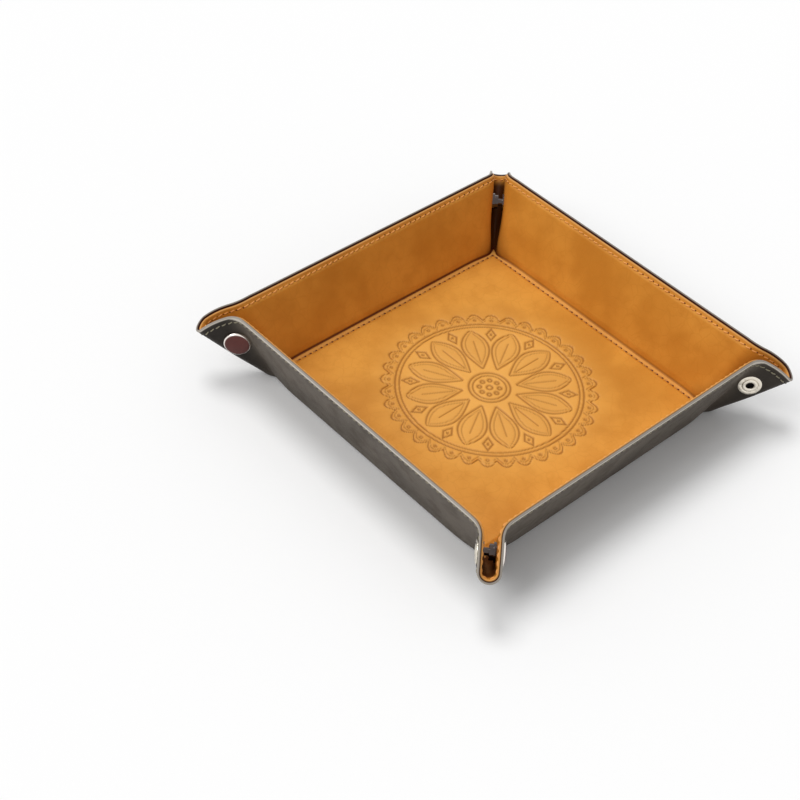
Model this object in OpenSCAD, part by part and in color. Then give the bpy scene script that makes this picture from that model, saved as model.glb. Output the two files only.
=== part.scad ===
// Snap-up leather dice tray: a square base, four walls that fold up from it, and at each
// corner two leather flaps that are pinched together into a fin and held by a snap fastener.
// Origin: centre of the underside. +Z up. The tray is drawn snapped up.

/* [Tray] */
// Width of the base, from crease to crease
base_w = 172; // [120:1:260]
// Height of a wall, measured up its slope from the crease to the rim
wall_h = 47.5; // [42:0.5:60]
// Tilt of a wall from lying flat, in degrees
wall_tilt = 71; // [64:0.5:78]
// Radius of the rounded corners of the flat sheet
sheet_corner_r = 48; // [44:0.5:56]

/* [Leather] */
// Thickness of the grey outer leather
outer_t = 1.1; // [0.9:0.05:1.3]
// Thickness of the tan inner leather
inner_t = 1.1; // [0.9:0.05:1.3]
// Running gap beside a fold
fold_gap = 0.15; // [0.1:0.05:0.3]

/* [Stiffener boards] */
// Thickness of the boards
board_t = 0.8; // [0.5:0.1:1.2]
// Distance of a board's edges from the creases and the rim
board_margin = 6; // [5.6:0.1:9]
// Distance of a wall board's ends from the bends into the flaps
board_side_margin = 4; // [3.5:0.1:8]

/* [Corner fins] */
// Distance from the middle of the leather to the corner's diagonal plane
fin_half = 4.5; // [4.2:0.1:5.5]
// Clearance of a flap's curled edge from the diagonal plane
fin_gap = 2.25; // [2.2:0.05:2.6]
// Extra length of the curl past its flap where the tray lies flat
curl_ease = 0.2; // [0.1:0.05:0.4]
// Distance from the base corner at which the curl starts
curl_start = 3; // [2:0.5:6]
// Width of the flat strip that leads into the curl
curl_lead = 0.4; // [0.3:0.05:0.6]
// Distance by which the curl and the bend's roll stop short of the rim
rim_setback = 0.3; // [0.2:0.05:0.6]

/* [Snap fasteners] */
// Distance of a snap's centre from the bend between wall and flap
snap_from_bend = 7.8; // [7.6:0.1:8.6]
// Distance of a snap's centre from the rim, along that bend
snap_below_rim = 17.8; // [16:0.1:19]
// Diameter of the cap
cap_d = 15; // [12:0.5:15]
// Height of the domed cap
cap_h = 2.8; // [2.4:0.1:3.4]
// Radius of the cap's rolled rim
cap_rim_r = 0.7; // [0.5:0.05:0.9]
// Radius of the post behind the cap
post_r = 1.9; // [1.5:0.1:2]
// Outer radius of the socket's foot
socket_r = 5.2; // [4.8:0.1:5.6]
// Outer radius of the socket's collar
socket_collar_r = 4.2; // [4:0.1:4.6]
// Radius of the socket's mouth
socket_bore_r = 2.75; // [2.7:0.05:3]
// Height of the socket's foot
socket_foot_h = 1.3; // [1:0.1:1.6]
// Thickness of the socket's floor
socket_floor_t = 0.6; // [0.5:0.1:0.8]
// Radius of the stud's flange
stud_flange_r = 5; // [4.5:0.1:5.5]
// Thickness of the stud's flange
stud_flange_t = 0.8; // [0.6:0.1:1]
// Radius of the stud's neck
stud_neck_r = 2.05; // [2:0.05:2.1]
// Radius to which the stud's bead swells
stud_bead_r = 2.35; // [2.3:0.05:2.4]
// Depth to which the stud enters the socket
stud_engage = 1.5; // [1.2:0.1:1.6]
// Share of the leather's free gap in a fin that the socket fills
socket_height_share = 0.5; // [0.46:0.01:0.54]
// Radius of the eyelet ring
eyelet_r = 6.5; // [6:0.1:6.8]
// Thickness of the eyelet ring
eyelet_t = 0.6; // [0.5:0.1:0.8]
// Height of the eyelet's rolled lip
eyelet_lip_h = 1.3; // [1:0.1:1.5]
// Outer radius of the eyelet's tube
eyelet_tube_r = 1.4; // [1.3:0.05:1.45]
// Wall of the eyelet's tube
eyelet_wall = 0.4; // [0.3:0.05:0.5]

/* [Stitching] */
// Distance of the rim thread from the sheet's edge
rim_stitch_in = 4; // [3.5:0.1:4.4]
// Distance of the base thread from the crease
base_stitch_in = 3.8; // [3.4:0.1:4]
// Width of the thread
thread_w = 0.8; // [0.6:0.1:1]
// Height of the thread above the leather
thread_h = 0.35; // [0.25:0.05:0.5]

/* [Hidden] */
// Clearance round the posts and tubes
fit_gap = 0.1;
// Overrun of cuts
cut = 1;
// Thickness of the flare that holds a post or a tube
flare_t = 0.3;
// Width of the flare beyond its post
flare_w = 0.4;

half_base = base_w / 2;
half_sheet = half_base + wall_h;
sheet_t = outer_t + inner_t;
// Each fold turns about a line between the two leathers, and its roll has the leather's radius
fold_clear = max(outer_t, inner_t) + fold_gap;
// Lean of the bend between wall and flap, away from the wall's own normal line
bend_lean = atan(cos(wall_tilt));
// Angle that a flap turns from its wall when the tray is snapped up
flap_turn = acos(sin(wall_tilt) / sqrt(2));
// Place of the bend on the crease, so that the flap lies fin_half from the diagonal plane
bend_x = half_base - fin_half / sin(flap_turn) / cos(bend_lean);
// Distance from the diagonal at which a flap's flat part ends and its curl begins
curl_reach = fin_half + max(outer_t, inner_t) + curl_ease;
// Distance from the diagonal at which the strip that leads into the curl begins
strip_reach = curl_reach + curl_lead;
// Place along the bend where the bend and the strip's first line cross
strip_cross = (strip_reach * sqrt(2) - (half_base - bend_x)) / (cos(bend_lean) - sin(bend_lean));
// Centre of the sheet's corner arc in a wall's flat frame: this far out and up from the base corner
arc_in = wall_h - sheet_corner_r;
// Where a curl ends: just short of the place along the diagonal at which its strip meets the corner arc
curl_end = arc_in * sqrt(2) + sqrt(pow(sheet_corner_r, 2) - pow(strip_reach, 2)) - rim_setback;
// Where the bend ends: at the straight rim, or at the corner arc if the arc starts before it
bend_rim = wall_h / cos(bend_lean);
bend_side = (bend_x - half_base - arc_in) * sin(bend_lean) - arc_in * cos(bend_lean);
bend_off2 = pow(bend_x - half_base - arc_in, 2) + pow(arc_in, 2);
bend_arc = sqrt(pow(bend_side, 2) - bend_off2 + pow(sheet_corner_r, 2)) - bend_side;
bend_len = bend_x + bend_rim * sin(bend_lean) > half_base + arc_in ? bend_arc : bend_rim;
// Distance of a snap's centre along the bend, from the crease
snap_up_bend = bend_len - snap_below_rim;
// Free gap between the two flaps of a fin
fin_space = 2 * (fin_half - inner_t);
socket_h = fin_space * socket_height_share;
stud_h = fin_space - socket_h + stud_engage;

tan_leather = "#C8802A";
grey_leather = "#5F564B";
board_grey = "#8A857C";
thread_tan = "#C9A45C";
chrome = "#C8CACC";

// Each wall's name, and its turn about Z from the back wall
WALLS = [["back", 0], ["left", 90], ["front", 180], ["right", 270]];
WALL_PIECES = [
    "wall_outer_leather", "wall_inner_leather", "wall_board", "wall_stitching",
    "cap_flap_outer_leather", "cap_flap_inner_leather", "cap_flap_stitching",
    "stud_flap_outer_leather", "stud_flap_inner_leather", "stud_flap_stitching",
    "snap_cap", "snap_socket", "snap_stud", "snap_eyelet"
];
BASE_PIECES = ["base_outer_leather", "base_inner_leather", "base_board", "base_stitching"];

// Places

// From a wall's own flat frame (x along the crease, y up the wall, z to the tan side) to the tray
module on_wall(turn) {
    rotate([0, 0, turn])
        translate([0, half_base, outer_t])
            rotate([wall_tilt, 0, 0])
                children();
}

// Bends what is drawn in the wall's flat frame down at the bend, as the snapped-up flap is
module fold_flap() {
    at_bend()
        rotate([0, flap_turn, 0])
            rotate([0, 0, bend_lean])
                translate([-bend_x, 0, 0])
                    children();
}

// Frame of the bend line: y runs along it, x across the flap
module at_bend() {
    translate([bend_x, 0, 0])
        rotate([0, 0, -bend_lean])
            children();
}

// Frame of a snap's centre on the flap
module at_snap() {
    at_bend()
        rotate([0, flap_turn, 0])
            translate([snap_from_bend, snap_up_bend, 0])
                children();
}

// The stud flap is the mirror image of the cap flap, at the wall's other end
module other_end() {
    mirror([1, 0, 0])
        children();
}

// Outlines

// The flat sheet, drawn in from its edge, in a wall's flat frame
module sheet_outline(inset = 0) {
    side = half_sheet - inset;
    r = sheet_corner_r - inset;
    translate([0, -half_base])
        union() {
            square([2 * side, 2 * (side - r)], center = true);
            square([2 * (side - r), 2 * side], center = true);
            for (x = [-1, 1], y = [-1, 1])
                translate([x * (side - r), y * (side - r)])
                    circle(r, $fn = 128);
        }
}

// A thread's line along the rim, as a band
module rim_band() {
    difference() {
        sheet_outline(rim_stitch_in - thread_w / 2);
        sheet_outline(rim_stitch_in + thread_w / 2);
    }
}

// Four-sided panel between the two bends: low and high edges, and distance from the bends
module wall_panel(low, high, side) {
    edge = side / cos(bend_lean);
    polygon([
        for (p = [[-1, low], [1, low], [1, high], [-1, high]])
            [p[0] * (bend_x - edge + p[1] * tan(bend_lean)), p[1]]
    ]);
}

// Flat part of a flap: between the bend and the strip that leads into its curl
module flap_wedge() {
    far = wall_h * 2;
    polygon([
        [bend_x + strip_cross * sin(bend_lean), strip_cross * cos(bend_lean)],
        [half_base + far - strip_reach * sqrt(2), far],
        [bend_x + far * tan(bend_lean), far]
    ]);
}

// Leather

// The half of a fold's roll that one leather forms, along x: up is the tan side
module half_roll(len, r, up) {
    intersection() {
        translate([-len / 2, 0, 0])
            rotate([0, 90, 0])
                cylinder(r = r, h = len, $fn = 48);
        translate([-len, -2 * r, up ? 0 : -2 * r])
            cube([2 * len, 4 * r, 2 * r]);
    }
}

// Layer of the wall: plate that ends at the rim, and the roll along the crease
module wall_layer(t, up) {
    z = up ? 0 : -t;
    translate([0, 0, z])
        linear_extrude(t)
            intersection() {
                wall_panel(0, wall_h + cut, fold_clear);
                sheet_outline();
            }
    half_roll(2 * (bend_x - fold_clear / cos(bend_lean)), t, up);
}

module wall_outer_leather() {
    color(grey_leather)
        wall_layer(outer_t, false);
}

// The tan leather stands up over the board
module wall_inner_leather() {
    color(tan_leather)
        difference() {
            union() {
                wall_layer(inner_t, true);
                linear_extrude(board_t + inner_t)
                    board_outline(inner_t);
            }
            translate([0, 0, -cut])
                linear_extrude(cut + board_t)
                    board_outline(0);
        }
}

module board_outline(grow) {
    wall_panel(board_margin - grow, wall_h - board_margin + grow, fold_clear + board_side_margin - grow);
}

module wall_board() {
    color(board_grey)
        linear_extrude(board_t)
            board_outline(0);
}

// Both faces of a seam: the band that is drawn, at the thread's height on each leather
module both_faces() {
    for (z = [inner_t, -outer_t - thread_h])
        translate([0, 0, z])
            linear_extrude(thread_h)
                children();
}

module wall_stitching() {
    color(thread_tan)
        both_faces()
            intersection() {
                wall_panel(board_margin, wall_h + cut, fold_clear);
                rim_band();
            }
}

// One leather of a flap, in the wall's flat frame: plate, roll along the bend, and curled edge
module flap_layer(t, up) {
    translate([0, 0, up ? 0 : -t])
        linear_extrude(t)
            intersection() {
                flap_wedge();
                sheet_outline();
            }
    at_bend()
        translate([0, (strip_cross + bend_len) / 2 - rim_setback, 0])
            rotate([0, 0, 90])
                half_roll(bend_len - strip_cross, t, up);
    curl(up ? fin_half - t : fin_half, up ? fin_half : fin_half + t);
}

// Strip and quarter of a tube from the flap's plane towards the diagonal, cut short of the diagonal plane
module curl(r_in, r_out) {
    translate([half_base - curl_reach / sqrt(2), curl_reach / sqrt(2), fin_half])
        rotate([0, 0, -45])
            translate([0, curl_end, 0])
                rotate([90, 0, 0])
                    linear_extrude(curl_end - curl_start) {
                        intersection() {
                            difference() {
                                circle(r_out, $fn = 96);
                                circle(r_in, $fn = 96);
                            }
                            translate([0, -2 * fin_half])
                                square([2 * fin_half, 2 * fin_half - fin_gap]);
                        }
                        translate([-curl_lead, -r_out])
                            square([curl_lead, r_out - r_in]);
                    }
}

// The hole through the leather for a snap's post or tube
module snap_hole(r) {
    at_snap()
        cylinder(r = r + fit_gap, h = 4 * sheet_t, center = true, $fn = 48);
}

module flap_leather(t, up, hole_r) {
    difference() {
        fold_flap()
            flap_layer(t, up);
        snap_hole(hole_r);
    }
}

module cap_flap_outer_leather() {
    color(grey_leather)
        flap_leather(outer_t, false, post_r);
}

module cap_flap_inner_leather() {
    color(tan_leather)
        flap_leather(inner_t, true, post_r);
}

module stud_flap_outer_leather() {
    color(grey_leather)
        other_end()
            flap_leather(outer_t, false, eyelet_tube_r);
}

module stud_flap_inner_leather() {
    color(tan_leather)
        other_end()
            flap_leather(inner_t, true, eyelet_tube_r);
}

module cap_flap_stitching() {
    color(thread_tan)
        fold_flap()
            both_faces()
                intersection() {
                    flap_wedge();
                    rim_band();
                }
}

module stud_flap_stitching() {
    other_end()
        cap_flap_stitching();
}

// Base

module base_square(inset) {
    square(2 * (half_base - inset), center = true);
}

module base_outer_leather() {
    color(grey_leather)
        linear_extrude(outer_t)
            base_square(fold_clear);
}

module base_inner_leather() {
    color(tan_leather)
        translate([0, 0, outer_t])
            difference() {
                union() {
                    linear_extrude(inner_t)
                        base_square(fold_clear);
                    linear_extrude(board_t + inner_t)
                        base_square(board_margin - inner_t);
                }
                translate([0, 0, -cut])
                    linear_extrude(cut + board_t)
                        base_square(board_margin);
            }
}

module base_board() {
    color(board_grey)
        translate([0, 0, outer_t])
            linear_extrude(board_t)
                base_square(board_margin);
}

module base_stitching() {
    color(thread_tan)
        translate([0, 0, sheet_t])
            linear_extrude(thread_h)
                difference() {
                    base_square(base_stitch_in - thread_w / 2);
                    base_square(base_stitch_in + thread_w / 2);
                }
}

// Snap fasteners, each drawn with z away from the leather face that it sits on

// Domed cap with a rolled rim, and the post that goes through the leather to the socket
module cap_body() {
    chord = cap_d / 2 - cap_rim_r;
    sag = cap_h - 2 * cap_rim_r;
    dome_r = (chord * chord + sag * sag) / (2 * sag);
    rotate_extrude($fn = 96)
        intersection() {
            union() {
                intersection() {
                    translate([0, cap_h - dome_r])
                        circle(dome_r, $fn = 256);
                    square([chord, cap_h]);
                }
                square([chord, cap_rim_r]);
                translate([chord, cap_rim_r])
                    circle(cap_rim_r, $fn = 48);
            }
            square([cap_d, cap_h]);
        }
    translate([0, 0, -sheet_t - socket_floor_t - flare_t])
        cylinder(r = post_r, h = sheet_t + socket_floor_t + flare_t + cap_rim_r, $fn = 48);
    translate([0, 0, -sheet_t - socket_floor_t - flare_t])
        cylinder(r = post_r + flare_w, h = flare_t, $fn = 48);
}

module snap_cap() {
    color(chrome)
        at_snap()
            translate([0, 0, -outer_t])
                mirror([0, 0, 1])
                    cap_body();
}

module snap_socket() {
    color(chrome)
        at_snap()
            translate([0, 0, inner_t])
                difference() {
                    union() {
                        cylinder(r = socket_r, h = socket_foot_h, $fn = 64);
                        cylinder(r = socket_collar_r, h = socket_h, $fn = 64);
                    }
                    translate([0, 0, socket_floor_t])
                        cylinder(r = socket_bore_r, h = socket_h, $fn = 64);
                    translate([0, 0, -cut])
                        cylinder(r = post_r + fit_gap, h = socket_floor_t + 2 * cut, $fn = 48);
                }
}

// Stud: flange, neck and bead, hollow for the eyelet's tube
module snap_stud() {
    bead = stud_bead_r - stud_neck_r;
    color(chrome)
        other_end()
            at_snap()
                translate([0, 0, inner_t])
                    rotate_extrude($fn = 64)
                        difference() {
                            union() {
                                square([stud_flange_r, stud_flange_t]);
                                square([stud_neck_r, stud_h]);
                                translate([stud_neck_r, stud_h - 2 * bead])
                                    circle(bead, $fn = 32);
                            }
                            translate([0, -cut])
                                square([eyelet_tube_r + fit_gap, cut + stud_h / 2]);
                        }
}

// Eyelet ring on the grey side, and its tube through the leather into the stud
module snap_eyelet() {
    depth = sheet_t + stud_flange_t + flare_t;
    lip_r = eyelet_lip_h / 2;
    color(chrome)
        other_end()
            at_snap()
                translate([0, 0, -outer_t])
                    mirror([0, 0, 1])
                        difference() {
                            union() {
                                cylinder(r = eyelet_r, h = eyelet_t, $fn = 96);
                                translate([0, 0, lip_r])
                                    rotate_extrude($fn = 64)
                                        translate([eyelet_tube_r + lip_r, 0])
                                            circle(lip_r, $fn = 32);
                                translate([0, 0, -depth])
                                    cylinder(r = eyelet_tube_r, h = depth + eyelet_t, $fn = 48);
                            }
                            translate([0, 0, -depth - cut])
                                cylinder(r = eyelet_tube_r - eyelet_wall, h = depth + eyelet_lip_h + 2 * cut, $fn = 48);
                        }
}

module wall_piece(piece) {
    if (piece == "wall_outer_leather") wall_outer_leather();
    if (piece == "wall_inner_leather") wall_inner_leather();
    if (piece == "wall_board") wall_board();
    if (piece == "wall_stitching") wall_stitching();
    if (piece == "cap_flap_outer_leather") cap_flap_outer_leather();
    if (piece == "cap_flap_inner_leather") cap_flap_inner_leather();
    if (piece == "cap_flap_stitching") cap_flap_stitching();
    if (piece == "stud_flap_outer_leather") stud_flap_outer_leather();
    if (piece == "stud_flap_inner_leather") stud_flap_inner_leather();
    if (piece == "stud_flap_stitching") stud_flap_stitching();
    if (piece == "snap_cap") snap_cap();
    if (piece == "snap_socket") snap_socket();
    if (piece == "snap_stud") snap_stud();
    if (piece == "snap_eyelet") snap_eyelet();
}

base_outer_leather();
base_inner_leather();
base_board();
base_stitching();
for (w = WALLS) {
    for (piece = WALL_PIECES) {
        on_wall(w[1]) wall_piece(piece);
    }
}
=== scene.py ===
"""Looks of a snap-up leather dice tray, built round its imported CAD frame.

The tray is one two-sided sheet of leather: tan inside, grey outside. Every point of the folded sheet
comes from one rule, FoldedSheet, which bends the flat pattern at the creases, at the bends into the
corner flaps and at the fin folds. The panels, the strips across the folds and the seams all follow it.
Lengths in the rules are in millimetres, and meshes are written in metres.
"""

import logging
import math
from dataclasses import dataclass
from enum import Enum
from typing import Any, Callable, Iterator, Sequence

import bpy
import numpy as np
from mathutils import Matrix, Vector


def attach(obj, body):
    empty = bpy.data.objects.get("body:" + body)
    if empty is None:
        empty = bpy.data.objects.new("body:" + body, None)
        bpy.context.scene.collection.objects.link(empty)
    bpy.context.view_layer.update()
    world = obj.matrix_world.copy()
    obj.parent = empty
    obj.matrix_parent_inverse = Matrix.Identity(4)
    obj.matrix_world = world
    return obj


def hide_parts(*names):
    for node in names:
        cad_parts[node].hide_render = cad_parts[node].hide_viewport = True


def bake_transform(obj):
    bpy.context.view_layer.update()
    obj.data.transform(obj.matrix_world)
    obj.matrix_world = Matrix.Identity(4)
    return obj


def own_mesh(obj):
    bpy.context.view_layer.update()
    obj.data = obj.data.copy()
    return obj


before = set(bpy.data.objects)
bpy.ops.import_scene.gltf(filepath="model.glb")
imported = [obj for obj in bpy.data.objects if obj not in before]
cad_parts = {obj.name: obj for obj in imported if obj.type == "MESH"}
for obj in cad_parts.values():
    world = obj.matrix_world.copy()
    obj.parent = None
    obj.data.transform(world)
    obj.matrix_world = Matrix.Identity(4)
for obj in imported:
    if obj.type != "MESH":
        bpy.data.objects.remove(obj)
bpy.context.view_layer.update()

log = logging.getLogger("dice_tray")

MM = 0.001
ROOT2 = math.sqrt(2.0)
Array = np.ndarray
Flat = tuple[float, float]
Triple = tuple[float, float, float]
Socket = bpy.types.NodeSocket
Pieces = Iterator[bpy.types.Object]


class Wall(Enum):
    """The four walls, each with its number of quarter turns from the back wall."""

    BACK = 0
    LEFT = 1
    FRONT = 2
    RIGHT = 3

    @property
    def label(self) -> str:
        """Name of the wall as the CAD bodies have it."""
        return self.name.lower()

    @property
    def crease_shadow_strength(self) -> float:
        """How strongly painted shade darkens this wall's crease: most at the back wall, whose crease lies in shadow,
        least at the lit right wall.
        """
        return {"BACK": 1.0, "RIGHT": 0.5}.get(self.name, 0.7)


class End(Enum):
    """The two ends of a wall: the cap flap is at its +x end and the stud flap at its -x end."""

    CAP = 1
    STUD = -1


class Side(Enum):
    """The two leathers: the tan one lies above the middle of the sheet, the grey one below."""

    TAN = 1
    GREY = -1

    @property
    def cad_word(self) -> str:
        """What the CAD nodes of this leather are called."""
        return "inner_leather" if self is Side.TAN else "outer_leather"


@dataclass(frozen=True)
class Spot:
    """One end of one wall: where a piece drawn at the cap end of the back wall goes."""

    wall: Wall
    end: End = End.CAP

    @property
    def body(self) -> str:
        """Name of the wall's body."""
        return self.wall.label + "_wall"

    @property
    def flap(self) -> str:
        """Name of the flap's body."""
        return f"{self.wall.label}_{self.end.name.lower()}_flap"

    def put(self, rows: Array) -> Array:
        """Brings points or directions to this place.

        Args:
            rows: Points or directions at the cap end of the back wall, one to a row.

        Returns:
            The rows, mirrored to this end and turned to this wall.
        """
        c, s = [(1, 0), (0, 1), (-1, 0), (0, -1)][self.wall.value]
        x, y = rows[..., 0] * self.end.value, rows[..., 1]
        return np.stack([c * x - s * y, s * x + c * y, rows[..., 2]], axis=-1)


# Small helpers for shapes


def smoothstep(low: Any, high: Any, x: Array) -> Array:
    """Smooth ramp: 0 up to low, 1 from high."""
    t = np.clip((np.asarray(x, float) - low) / (high - low), 0.0, 1.0)
    return t * t * (3.0 - 2.0 * t)


def bell(x: Array, width: float) -> Array:
    """Soft hump of height 1 at zero, down to about a third at width."""
    return np.exp(-((x / width) ** 2))


def unit(v: Array) -> Array:
    """Rows of v scaled to length one."""
    return v / np.maximum(np.linalg.norm(v, axis=-1, keepdims=True), 1e-12)


def rolled(u: Array, w: Array, angle: float) -> tuple[Array, Array]:
    """A pair of coordinates turned by an angle."""
    return u * math.cos(angle) - w * math.sin(angle), u * math.sin(angle) + w * math.cos(angle)


def slid(points: Array, move: Array) -> Array:
    """Points moved square to the back corner's diagonal plane."""
    return points + move[:, None] * np.array([-1.0, 1.0, 0.0]) / ROOT2


def edge_drop(inset: Array, radius: float) -> Array:
    """How far a face with a rounded edge drops, at a distance in from that edge."""
    k = np.clip(radius - inset, 0.0, radius)
    return radius - np.sqrt(np.maximum(radius * radius - k * k, 0.0))


def rounded_bend(across: Array, height: Any, reach: Any, turn: float) -> tuple[Array, Array]:
    """Bends a flat strip up through an angle, with a round.

    Args:
        across: Flat distance past the bend line.
        height: Height of the point above the strip.
        reach: Half width of the rounded part.
        turn: Angle of the bend.

    Returns:
        (distance out from the bend line, distance up).
    """
    radius = reach / math.tan(turn / 2.0)
    angle = turn * np.clip((across + reach) / (2.0 * reach), 0.0, 1.0)
    over, under = np.maximum(across - reach, 0.0), np.minimum(across + reach, 0.0)
    out = -reach + (radius - height) * np.sin(angle) + under + over * math.cos(turn)
    return out, radius - (radius - height) * np.cos(angle) + over * math.sin(turn)


def spread(low: float, high: float, step: float) -> list[float]:
    """Evenly spaced values from low to high, both included, about step apart."""
    return list(np.linspace(low, high, max(1, round(abs(high - low) / step)) + 1))


def both_ways(stops: Sequence[float]) -> list[float]:
    """Values from zero up, with their negatives before them."""
    return [-v for v in reversed(stops) if v > 0.0] + list(stops)


def merged_stops(*parts: Sequence[float]) -> list[float]:
    """Sorts values together, without near doubles.

    Args:
        *parts: Lists of values.

    Returns:
        The sorted values.
    """
    out: list[float] = []
    for v in sorted(x for p in parts for x in p):
        if not out or v - out[-1] > 1e-4:
            out.append(float(v))
    return out


# The folded sheet


@dataclass(frozen=True)
class FoldedSheet:
    """The rule that takes the flat pattern of the leather to the snapped-up tray.

    The flat frame is the back wall's: x along the crease from the middle of the wall, y up the wall
    from the crease, with the base at y below zero. Only x >= 0 is worked out, up to the corner's
    diagonal fold. The other end is its mirror image, and the other walls are turned copies.
    """

    half_base: float = 86.0
    wall_h: float = 47.5
    tilt: float = math.radians(71.0)
    corner_r: float = 48.0
    tan_t: float = 1.1
    grey_t: float = 1.1
    board_t: float = 0.8
    board_margin: float = 6.0
    board_side: float = 5.25
    board_skirt: float = 0.05
    board_foot_from: float = 0.4
    board_top_from: float = 2.6
    board_side_fade: float = 7.0
    board_base_fade: float = 2.0
    tan_rim_in: float = 1.4
    fin_half: float = 4.5
    curl_reach: float = 5.8
    curl_edge: float = 6.2
    crease_reach: float = 1.7
    bend_reach: float = 7.2
    bend_reach_low: float = 1.2
    bend_reach_rim: float = 5.6
    bend_rim_s: float = 49.0
    pinch_share: float = 0.6
    pinch_height: float = 26.0
    pinch_width: float = 7.0
    flare_share: float = 0.14
    flare_from: float = 38.0
    flare_to: float = 50.0
    closing_width: float = 3.0
    base_fade: float = 6.0
    soft_floor: float = 0.1
    probe: float = 0.03
    snap_from_bend: float = 7.8
    snap_up_bend: float = 31.196

    @property
    def lean(self) -> float:
        """Angle of the bend line from the wall's own upward line."""
        return math.atan(math.cos(self.tilt))

    @property
    def turn(self) -> float:
        """Angle from the wall's plane to the flap's plane."""
        return math.acos(math.sin(self.tilt) / ROOT2)

    @property
    def bend_x(self) -> float:
        """Where the bend line meets the crease."""
        return self.half_base - self.fin_half / math.sin(self.turn) / math.cos(self.lean)

    @property
    def bend_way(self) -> Flat:
        """Direction of the bend line on the flat sheet."""
        return math.sin(self.lean), math.cos(self.lean)

    @property
    def arc(self) -> Flat:
        """Centre of the sheet's rounded corner."""
        return self.half_base + self.wall_h - self.corner_r, self.wall_h - self.corner_r

    def bend_coords(self, x: Array, y: Array) -> tuple[Array, Array]:
        """Flat point to (across the bend line, along it)."""
        s, c = self.bend_way
        return (x - self.bend_x) * c - y * s, (x - self.bend_x) * s + y * c

    def from_bend(self, across: Array, along: Array) -> tuple[Array, Array]:
        """The reverse of bend_coords."""
        s, c = self.bend_way
        return self.bend_x + across * c + along * s, -across * s + along * c

    def fold_coords(self, x: Array, y: Array) -> tuple[Array, Array]:
        """Flat point to (distance in from the diagonal fold, distance along it from the base corner)."""
        return (self.half_base + y - x) / ROOT2, (x - self.half_base + y) / ROOT2

    def from_fold(self, a: Array, t: Array) -> tuple[Array, Array]:
        """The reverse of fold_coords."""
        return self.half_base + (t - a) / ROOT2, (t + a) / ROOT2

    def curl_line(self, across: float) -> float:
        """Where a line beside the bend, at a distance across it, comes to the fin fold's strip."""
        a, _ = self.fold_coords(*self.from_bend(across, 0.0))
        return (self.curl_edge - a) * ROOT2 / (self.bend_way[1] - self.bend_way[0])

    def inset(self, x: Array, y: Array) -> Array:
        """Distance of a flat point from the sheet's edge."""
        ox, oy = self.arc
        return np.where((x > ox) & (y > oy), self.corner_r - np.hypot(x - ox, y - oy), self.wall_h - y)

    def bend_tangent(self, along: Array) -> Array:
        """Half width of the rounded bend at a place along it: narrow at the base, wide at the rim."""
        share = np.clip(along / self.bend_rim_s, 0.0, 1.0) ** 2
        return self.bend_reach_low + (self.bend_reach_rim - self.bend_reach_low) * share

    def _wall_space(self, x: Array, y: Array) -> tuple[Array, Array, Array]:
        """Makes the bend and the fin fold, before the crease turns the wall up.

        Args:
            x: Flat places along the crease.
            y: Flat places up from the crease.

        Returns:
            (along the crease, up the wall, height off the wall).
        """
        across, along = self.bend_coords(x, y)
        u, drop = rounded_bend(across, 0.0, self.bend_tangent(along), self.turn)
        flap_u, flap_n = rolled(u, -drop, self.turn)
        a, t = self.fold_coords(*self.from_bend(flap_u, along))
        curl = np.maximum((self.curl_reach - a) / self.curl_reach, 0.0) * (math.pi / 2.0)
        arm = self.fin_half - flap_n
        curled = a < self.curl_reach
        a = np.where(curled, self.curl_reach - arm * np.sin(curl), a)
        n = np.where(curled, self.fin_half - arm * np.cos(curl), flap_n)
        flap_u, along = self.bend_coords(*self.from_fold(a, t))
        u, w = rolled(flap_u, n, -self.turn)
        return *self.from_bend(u, along), w

    def _wall_mid(self, x: Array, y: Array) -> Array:
        """Places a wall or flap, with the two sides of its corner drawn together near the base.

        Args:
            x: Flat places along the crease.
            y: Flat places up from the crease.

        Returns:
            Middle of the leather, one tray point to a row.
        """
        wx, wy, wz = self._wall_space(x, y)
        out, up = rounded_bend(wy, wz, self.crease_reach, self.tilt)
        p = np.stack([wx, self.half_base + out, self.grey_t + up], axis=-1)
        along = np.maximum(self.bend_coords(x, y)[1], 0.0)
        share = self.pinch_share * (1.0 - smoothstep(0.0, self.pinch_height, along))
        share = share - self.flare_share * smoothstep(self.flare_from, self.flare_to, along)
        d = (p[:, 1] - p[:, 0]) / ROOT2
        return slid(p, -share * d * bell(d, self.pinch_width))

    def _wall_mid_closed(self, x: Array, y: Array) -> Array:
        """As _wall_mid, with the fold line brought exactly into the corner's diagonal plane.

        Args:
            x: Flat places along the crease.
            y: Flat places up from the crease.

        Returns:
            Middle of the leather, one tray point to a row.
        """
        a, t = self.fold_coords(x, y)
        fold = self._wall_mid(*self.from_fold(np.zeros_like(a), np.maximum(t, 0.0)))
        return slid(self._wall_mid(x, y), (fold[:, 0] - fold[:, 1]) / ROOT2 * bell(a, self.closing_width))

    def _base_plain(self, x: Array, y: Array) -> Array:
        """Middle of the leather for base points, with the rounds of the creases alone."""
        (ox, ux), (oy, uy) = (rounded_bend(v - self.half_base, 0.0, self.crease_reach, self.tilt) for v in (x, y))
        return np.stack([self.half_base + ox, self.half_base + oy, self.grey_t + ux + uy], axis=-1)

    def _base_mid(self, x: Array, y: Array) -> Array:
        """Places the base, so that it meets the walls and their corners.

        Args:
            x: Places across the tray.
            y: Places along the tray.

        Returns:
            Middle of the leather, one tray point to a row.
        """
        p = self._base_plain(x, y)
        half, zero = np.full_like(x, self.half_base), np.zeros_like(x)
        fade_x, fade_y = (1.0 - smoothstep(0.0, self.base_fade, self.half_base - v) for v in (x, y))
        for v, fade, order in ((x, fade_y, [0, 1, 2]), (y, fade_x, [1, 0, 2]), (half, -fade_x * fade_y, [0, 1, 2])):
            near = np.minimum(v, self.half_base)
            p += (self._wall_mid_closed(near, zero) - self._base_plain(near, half))[:, order] * fade[:, None]
        return p

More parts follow.
